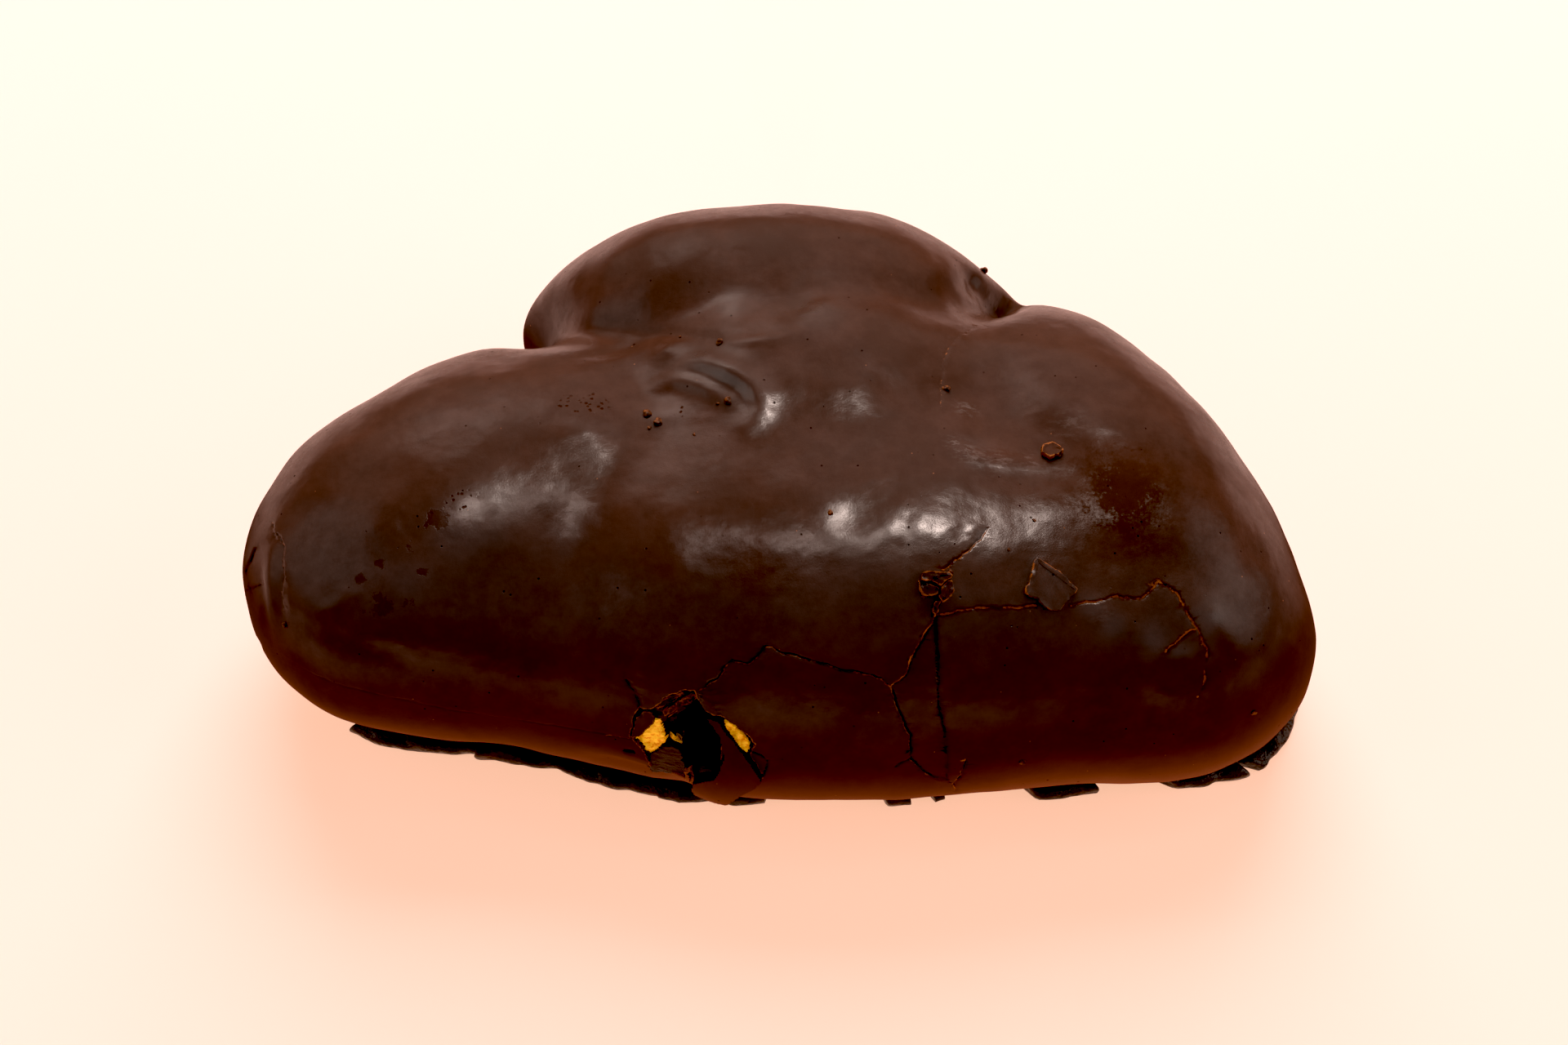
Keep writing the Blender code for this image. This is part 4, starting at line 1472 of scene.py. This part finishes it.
    def fill(self, finish: bpy.types.Material, tool: bpy.types.Object) -> None:
        """Builds the cream, scooped out at the channel's end."""
        cream = self.body("dark_cream_filling", 6, self.wall + self.play, self.cream_floor + self.play)
        Bench.cut(cream, tool)
        Bench.smooth(cream, 60.0)
        Bench.hand_over(cream, finish, "cream", "cream_filling")


@dataclass(frozen=True)
class Ledge:
    """A stretch of the foot that ran out past the coat's edge: bearings, and how far at each end."""

    start: float
    end: float
    start_reach: float
    end_reach: float


@dataclass
class Foot:
    """The chocolate that set flat under the bun and ran out past the coat here and there."""

    skin: Skin
    thickness: float = 1.5
    recess: float = 2.0
    lip: float = 1.8
    sag: float = 0.35
    segments: int = 1080
    ledges: tuple[Ledge, ...] = (
        Ledge(-154.0, -141.4, 2.2, 1.9),
        Ledge(-142.6, -111.0, 2.6, 2.0),
        Ledge(-116.0, -96.0, 2.3, 0.6),
        Ledge(-74.5, -69.0, 0.6, 0.8),
        Ledge(-66.0, -63.0, 0.9, 0.8),
        Ledge(-51.2, -42.5, 2.2, 0.9),
        Ledge(-36.5, -29.0, 0.4, 2.4),
        Ledge(-29.0, -14.0, 2.4, 3.8),
        Ledge(18.0, 44.0, 0.8, 1.2),
        Ledge(104.0, 131.0, 1.0, 0.6),
        Ledge(172.0, 188.0, 0.8, 0.5),
    )
    # how far in from the edge each ring lies, and its height as a share of the thickness
    rings: tuple[tuple[float, float], ...] = (
        (12.0, 1.0), (7.0, 1.0), (5.0, 1.0), (3.6, 1.0), (2.6, 1.0), (1.8, 1.0), (1.2, 0.99), (0.75, 0.97),
        (0.42, 0.90), (0.18, 0.78), (0.04, 0.60), (0.0, 0.42), (0.06, 0.22), (0.2, 0.07), (0.45, 0.0),
        (4.0, 0.0),
    )  # fmt: skip

    def _edge(self, bearing: Array) -> Array:
        """How far the foot reaches at each bearing in degrees."""
        reach = np.full(len(bearing), -self.recess)
        for ledge in self.ledges:
            at = np.where(bearing < ledge.start - 1.0, bearing + 360.0, bearing)
            share = (at - ledge.start) / (ledge.end - ledge.start)
            run = ledge.start_reach + (ledge.end_reach - ledge.start_reach) * share
            ends = soft_step(np.minimum(at - ledge.start, ledge.end - at), -0.3, 0.7)
            ledge_reach = -self.recess + (run + self.recess) * ends
            reach = np.maximum(reach, np.where(ends > 0, ledge_reach, -self.recess))
        around = np.radians(bearing)
        edge = self.skin.rim(around, self.lip * MM)
        ring = np.stack([np.cos(around), np.sin(around), np.zeros_like(around)], axis=-1) * edge[:, None]
        wobble = Swell(5.0, 61).at(ring) * 0.22 + Swell(1.7, 62).at(ring) * 0.10
        return edge + (reach + wobble) * MM

    def build(self, finish: bpy.types.Material) -> None:
        """Builds the foot."""
        count = len(self.rings)
        sphere = {"segments": self.segments, "ring_count": count + 1, "radius": 1.0, "calc_uvs": False}
        foot = Bench.primitive(bpy.ops.mesh.primitive_uv_sphere_add, "foot_of_chocolate", **sphere)
        ball = Bench.points(foot)
        fall = np.arccos(np.clip(ball[:, 2], -1, 1)) / math.pi * (count + 1)
        ring = np.clip(np.round(fall).astype(int) - 1, 0, count - 1)
        bearing = np.degrees(np.arctan2(ball[:, 1], ball[:, 0]))
        edge = self._edge(bearing)
        inset, level = np.array(self.rings)[ring].T
        poles = (np.round(fall) < 1) | (np.round(fall) > count)
        out = np.where(poles, 0.0, np.maximum(edge - inset * MM, edge * 0.2))
        around = np.radians(bearing)
        places = np.column_stack([
            self.skin.heart[0] * MM + out * np.cos(around),
            self.skin.heart[1] * MM + out * np.sin(around),
            level * self.thickness * MM,
        ])  # fmt: skip
        sag = (0.5 + 0.5 * Swell(3.0, 63).at(places)).clip(0, 1) * self.sag * MM
        places[:, 2] -= sag * soft_step(level, 0.5, 1.0) * soft_step(inset, 4.0, 1.0)
        Bench.put(foot, places)
        Bench.smooth(foot)
        Bench.hand_over(foot, finish, "foot_chocolate", "chocolate_base")


@dataclass(frozen=True)
class Flake:
    """A thin piece of chocolate on the coat, outlined by pixels of the picture."""

    pixels: Pixels
    height: float
    crumbled: float = 0.0
    sunk: float = 0.0


@dataclass(frozen=True)
class Crumb:
    """A small lump on the coat, at one pixel of the picture."""

    pixels: Pixels
    size: float
    flat: float = 0.6


FLAKES = read_marks(Flake, """
1268.9,683.1 1272,686.4 1295,698 1305,708 1318,721 1315,728 1308,736 1302,743 1295,748 1285,748 1276,741
    1269,733 1255,727 1255,719.6 1260.5,714.6 1261.5,708 1263,696.4 1265.5,689.8|0.42;
1127,711 1128,705 1136,702 1162,703 1165,708 1158,712 1152,719 1141,714|0.75 0.22;
1124,712 1136,714 1150,722 1146,728 1130,730 1125,722|0.5 0.22;
1152,720 1160,712 1166,712 1167,726 1161,734 1152,738 1148,730|0.62 0.26;
1144,736 1152,734 1150,748 1143,756 1140,748|0.3 0.3;
1277,546 1290,544 1303,550 1300,560 1286,564 1275,556|0.55 0.24;
# shards in the break
811,874 826,864 845,853 853,853 852,859 838,866 824,873 815,878|0.4 0.35 0.55;
799,872 806,863 818,856 836,852 828,861 812,869|0.4 0.16 0.95;
806,884 816,876 832,870 824,880 812,888|0.4 0.16 1.25;
838,946 846,944 850,952 850,968 845,968 839,958|0.4 0.45 0.35;
881,925 886,922 890,932 888,940 882,938|0.4 0.34 0.9;
""")  # fmt: skip
CRUMBS = read_marks(Crumb, """
792,509|0.95; 807,519|0.85; 795,525|0.4; 891,492|0.85; 879,495|0.35; 1160,475|0.8; 348,766|0.6;
1208,326|0.8 1; 1282,551|0.9; 1296,558|0.7; 1267,637|0.35; 1236,672|0.35; 881,419|0.75; 1018,629|0.5;
850,532|0.3; 832,411|0.3; 1164,700|0.5; 1130,731|0.34; 1252,932|0.7; 1536,874|0.6;
""")  # fmt: skip


@dataclass
class Flakes:
    """The flakes and crumbs that lie on the coat.

    A flake's edge is stepped in by each of insets, and it goes sunk_in deeper than the coat's face.
    """

    surface: Surface
    sunk_in: float = 0.25
    insets: tuple[float, ...] = (0.10, 0.12, 0.20)
    bevel: float = 0.06
    edge_width: float = 0.10
    edge_light: float = 0.9
    lump_depth: float = 0.32
    crumb_light: float = 0.38
    crumb_dull: float = -0.5
    flake_dull: float = -2.5

    def build(self, finish: bpy.types.Material) -> None:
        """Builds them as one piece."""
        made = [self._flake(flake, index) for index, flake in enumerate(FLAKES)]
        made += [self._crumb(crumb, index) for index, crumb in enumerate(CRUMBS)]
        bpy.ops.object.select_all(action="DESELECT")
        for obj in made:
            obj.select_set(True)
        piece = bpy.context.view_layer.objects.active = made[0]
        bpy.ops.object.join()
        piece.name = "flakes_on_the_coat"
        Bench.smooth(piece, 35.0)
        Bench.hand_over(piece, finish, "chocolate", "chocolate_coat")

    def _flake(self, flake: Flake, seed: int) -> bpy.types.Object:
        """A plate that follows the coat under it, with a crumbled edge."""
        skin = self.surface.skin
        corners = self.surface.sight.onto(skin, [*flake.pixels, flake.pixels[0]])
        edge = Track.ragged(corners, 0.28, 0.09, 90 + seed).points[:-1]
        ring = {"vertices": len(edge), "radius": 1.0, "fill_type": "NGON"}
        obj = Bench.primitive(bpy.ops.mesh.primitive_circle_add, f"flake_{seed}", **ring)
        middle = edge.mean(axis=0)
        normal = skin.outward(skin.settle(middle[None]))[0]
        placed, _, _ = self.surface.settle(edge)
        Bench.put(obj, placed - normal * (self.sunk_in + flake.sunk) * MM)
        lift = normal * (flake.height + self.sunk_in) * MM
        with Bench.editing(obj):
            bpy.ops.mesh.extrude_region_move(TRANSFORM_OT_translate={"value": tuple(lift)})
            for thickness in self.insets:
                bpy.ops.mesh.inset(thickness=thickness * MM, use_even_offset=False)
        Bench.face_outward(obj)
        places = Bench.points(obj)
        rough = np.stack([Swell(0.8, 70 + seed + axis).at(places) for axis in range(3)], axis=-1)
        Bench.put(obj, places + rough * (0.03 + 0.2 * flake.crumbled) * MM)
        Bench.apply(obj, "BEVEL", width=self.bevel * MM, segments=2, limit_method="ANGLE")
        places = Bench.points(obj)
        level = places - np.outer((places - middle) @ normal, normal)
        from_edge = Track(np.vstack([edge, edge[:1]])).measure(level)[0] / MM
        Bench.paint(obj, "gloss", np.full(len(places), self.flake_dull * flake.crumbled))
        # painted light along the flake's rim; a crumbled flake takes the broken colour all over
        rim = self.edge_light * bell(from_edge, self.edge_width)
        Bench.paint(obj, "edge", np.maximum(flake.crumbled, rim))
        return obj

    def _crumb(self, crumb: Crumb, seed: int) -> bpy.types.Object:
        """A rough lump."""
        place, _, _ = self.surface.settle(self.surface.sight.onto(self.surface.skin, crumb.pixels))
        normal = self.surface.skin.outward(self.surface.skin.settle(place))[0]
        obj = Bench.ball(f"crumb_{seed}", 3, place[0], [crumb.size * MM / 2] * 3)
        places = Bench.points(obj)
        lumps = 1 + self.lump_depth * Swell(crumb.size * 0.9, 80 + seed).at(places)
        places = place[0] + (places - place[0]) * lumps[:, None]
        rise = (places - place[0]) @ normal
        Bench.put(obj, places - np.outer(rise * (1 - crumb.flat), normal) + normal * crumb.size * 0.12 * MM)
        Bench.paint(obj, "gloss", np.full(len(places), self.crumb_dull))
        # painted light on the crumb's lit sides
        Bench.paint(obj, "edge", np.full(len(places), self.crumb_light))
        return obj


@dataclass(frozen=True)
class Softbox:
    """A soft light: its bearing from the back, its height over the table, its distance, size and power.

    Bearings run from +Y towards +X. A fill light is left out of reflections, and a sheen lights only them.
    """

    name: str
    bearing: float
    height: float
    distance: float
    size: tuple[float, float]
    power: float
    colour: Colour = (1.0, 1.0, 1.0)
    fill: bool = False
    sheen: bool = False

    def hang(self) -> None:
        """Adds the light, which faces the bun."""
        bearing, height = math.radians(self.bearing), math.radians(self.height)
        level = math.cos(height)
        way = Vector((math.sin(bearing) * level, math.cos(bearing) * level, math.sin(height)))
        turned = (-way).to_track_quat("-Z", "Y").to_matrix().to_4x4()
        self.put_at(Matrix.Translation(way * self.distance) @ turned)

    def put_at(self, place: Matrix) -> None:
        """Adds the light at a place, whose -Z is the way it shines."""
        data = bpy.data.lights.new(self.name, "AREA")
        data.shape = "RECTANGLE"
        data.size, data.size_y = self.size
        data.energy = self.power
        data.color = self.colour
        lamp = bpy.data.objects.new(self.name, data)
        lamp.matrix_world = place
        lamp.visible_camera = False
        lamp.visible_glossy = not self.fill
        lamp.visible_diffuse = not self.sheen
        bpy.context.scene.collection.objects.link(lamp)


WARM: Colour = (1.0, 0.90, 0.84)
ROSY: Colour = (1.0, 0.82, 0.74)


@dataclass
class Studio:
    """The table, the lights and the air round the bun."""

    table_half: float = 1.5
    boxes: tuple[Softbox, ...] = (
        Softbox("back", 0.0, 40.0, 0.85, (1.70, 0.62), 1.75, WARM),
        Softbox("left", -90.0, 34.0, 0.85, (0.70, 0.60), 1.45, WARM),
        Softbox("right", 90.0, 34.0, 0.85, (0.70, 0.60), 2.10, WARM),
        Softbox("top", 0.0, 80.0, 0.85, (0.80, 0.50), 0.22, WARM, sheen=True),
        Softbox("front", 180.0, 50.0, 0.85, (1.50, 0.90), 2.0, sheen=True),
        Softbox("over_fill", 0.0, 32.0, 0.90, (0.80, 0.80), 18.0, fill=True),
        Softbox("left_fill", -100.0, 12.0, 0.85, (0.50, 0.30), 1.6, WARM, fill=True),
        Softbox("right_fill", 95.0, 12.0, 0.85, (0.50, 0.30), 1.5, WARM, fill=True),
        Softbox("window", -25.0, 42.0, 0.80, (0.26, 0.18), 0.32, ROSY, sheen=True),
        Softbox("lamp", 50.0, 71.0, 0.80, (0.10, 0.10), 3.3, ROSY, sheen=True),
        Softbox("second_lamp", -80.0, 84.0, 0.80, (0.11, 0.11), 1.2, ROSY, sheen=True),
    )
    # what an over-bright table would throw back up: a light that lies on it
    bounce: Softbox = Softbox(
        "table_bounce", 0.0, 0.0, 0.3 * MM, (0.50, 0.40), 0.40, (0.92, 1.0, 0.95), fill=True
    )
    air: Colour = (0.012, 0.012, 0.012)
    black: Colour = (0.020, 0.0165, 0.0165)

    def set_up(self) -> None:
        """Adds the table, the lights and the world."""
        sheet = {"x_subdivisions": 8, "y_subdivisions": 8, "size": 2 * self.table_half, "calc_uvs": False}
        table = Bench.primitive(bpy.ops.mesh.primitive_grid_add, "table_top", **sheet)
        table.data.materials.append(TableFinish().make())
        for box in self.boxes:
            box.hang()
        raised = Matrix.Translation((0, 0, self.bounce.distance))
        self.bounce.put_at(raised @ Matrix.Rotation(math.pi, 4, "X"))
        world = bpy.data.worlds.new("air")
        world.use_nodes = True
        world.node_tree.nodes["Background"].inputs["Color"].default_value = (*self.air, 1.0)
        bpy.context.scene.world = world
        view = bpy.context.scene.view_settings
        view.view_transform = "Standard"
        view.look = "None"
        view.use_curve_mapping = True
        view.curve_mapping.black_level = self.black
        view.curve_mapping.update()


def main() -> None:
    """Builds every piece, dresses it and sets up the studio."""
    logging.basicConfig(level=logging.INFO, format="%(name)s: %(message)s")
    skin, sight = Skin(), Sight()
    sight.place_camera()
    surface = Surface(skin, sight)
    satin = CoatFinish().make()
    Coat(surface).build(satin)
    Flakes(surface).build(satin)
    for name, outline, push, lean, seed, light in (
        ("broken_flap", FLAP, 0.0, -7.0, 11, 0.34),
        ("broken_side_piece", SIDE_PIECE, 0.0, -4.0, 12, 0.5),
        ("broken_upper_piece", UPPER_PIECE, 1.0, 6.0, 13, 0.9),
    ):
        BrokenPiece(surface, f"{name}_of_coat", outline, push, lean, name, seed, light).build(satin)
    pastry = Pastry(skin, sight)
    tool = pastry.channel()
    pastry.build(CrumbFinish().make(), tool)
    pastry.fill(CreamFinish().make(), tool)
    bpy.data.objects.remove(tool)
    Foot(skin).build(FootFinish().make())
    Studio().set_up()


if __name__ == "__main__":
    main()
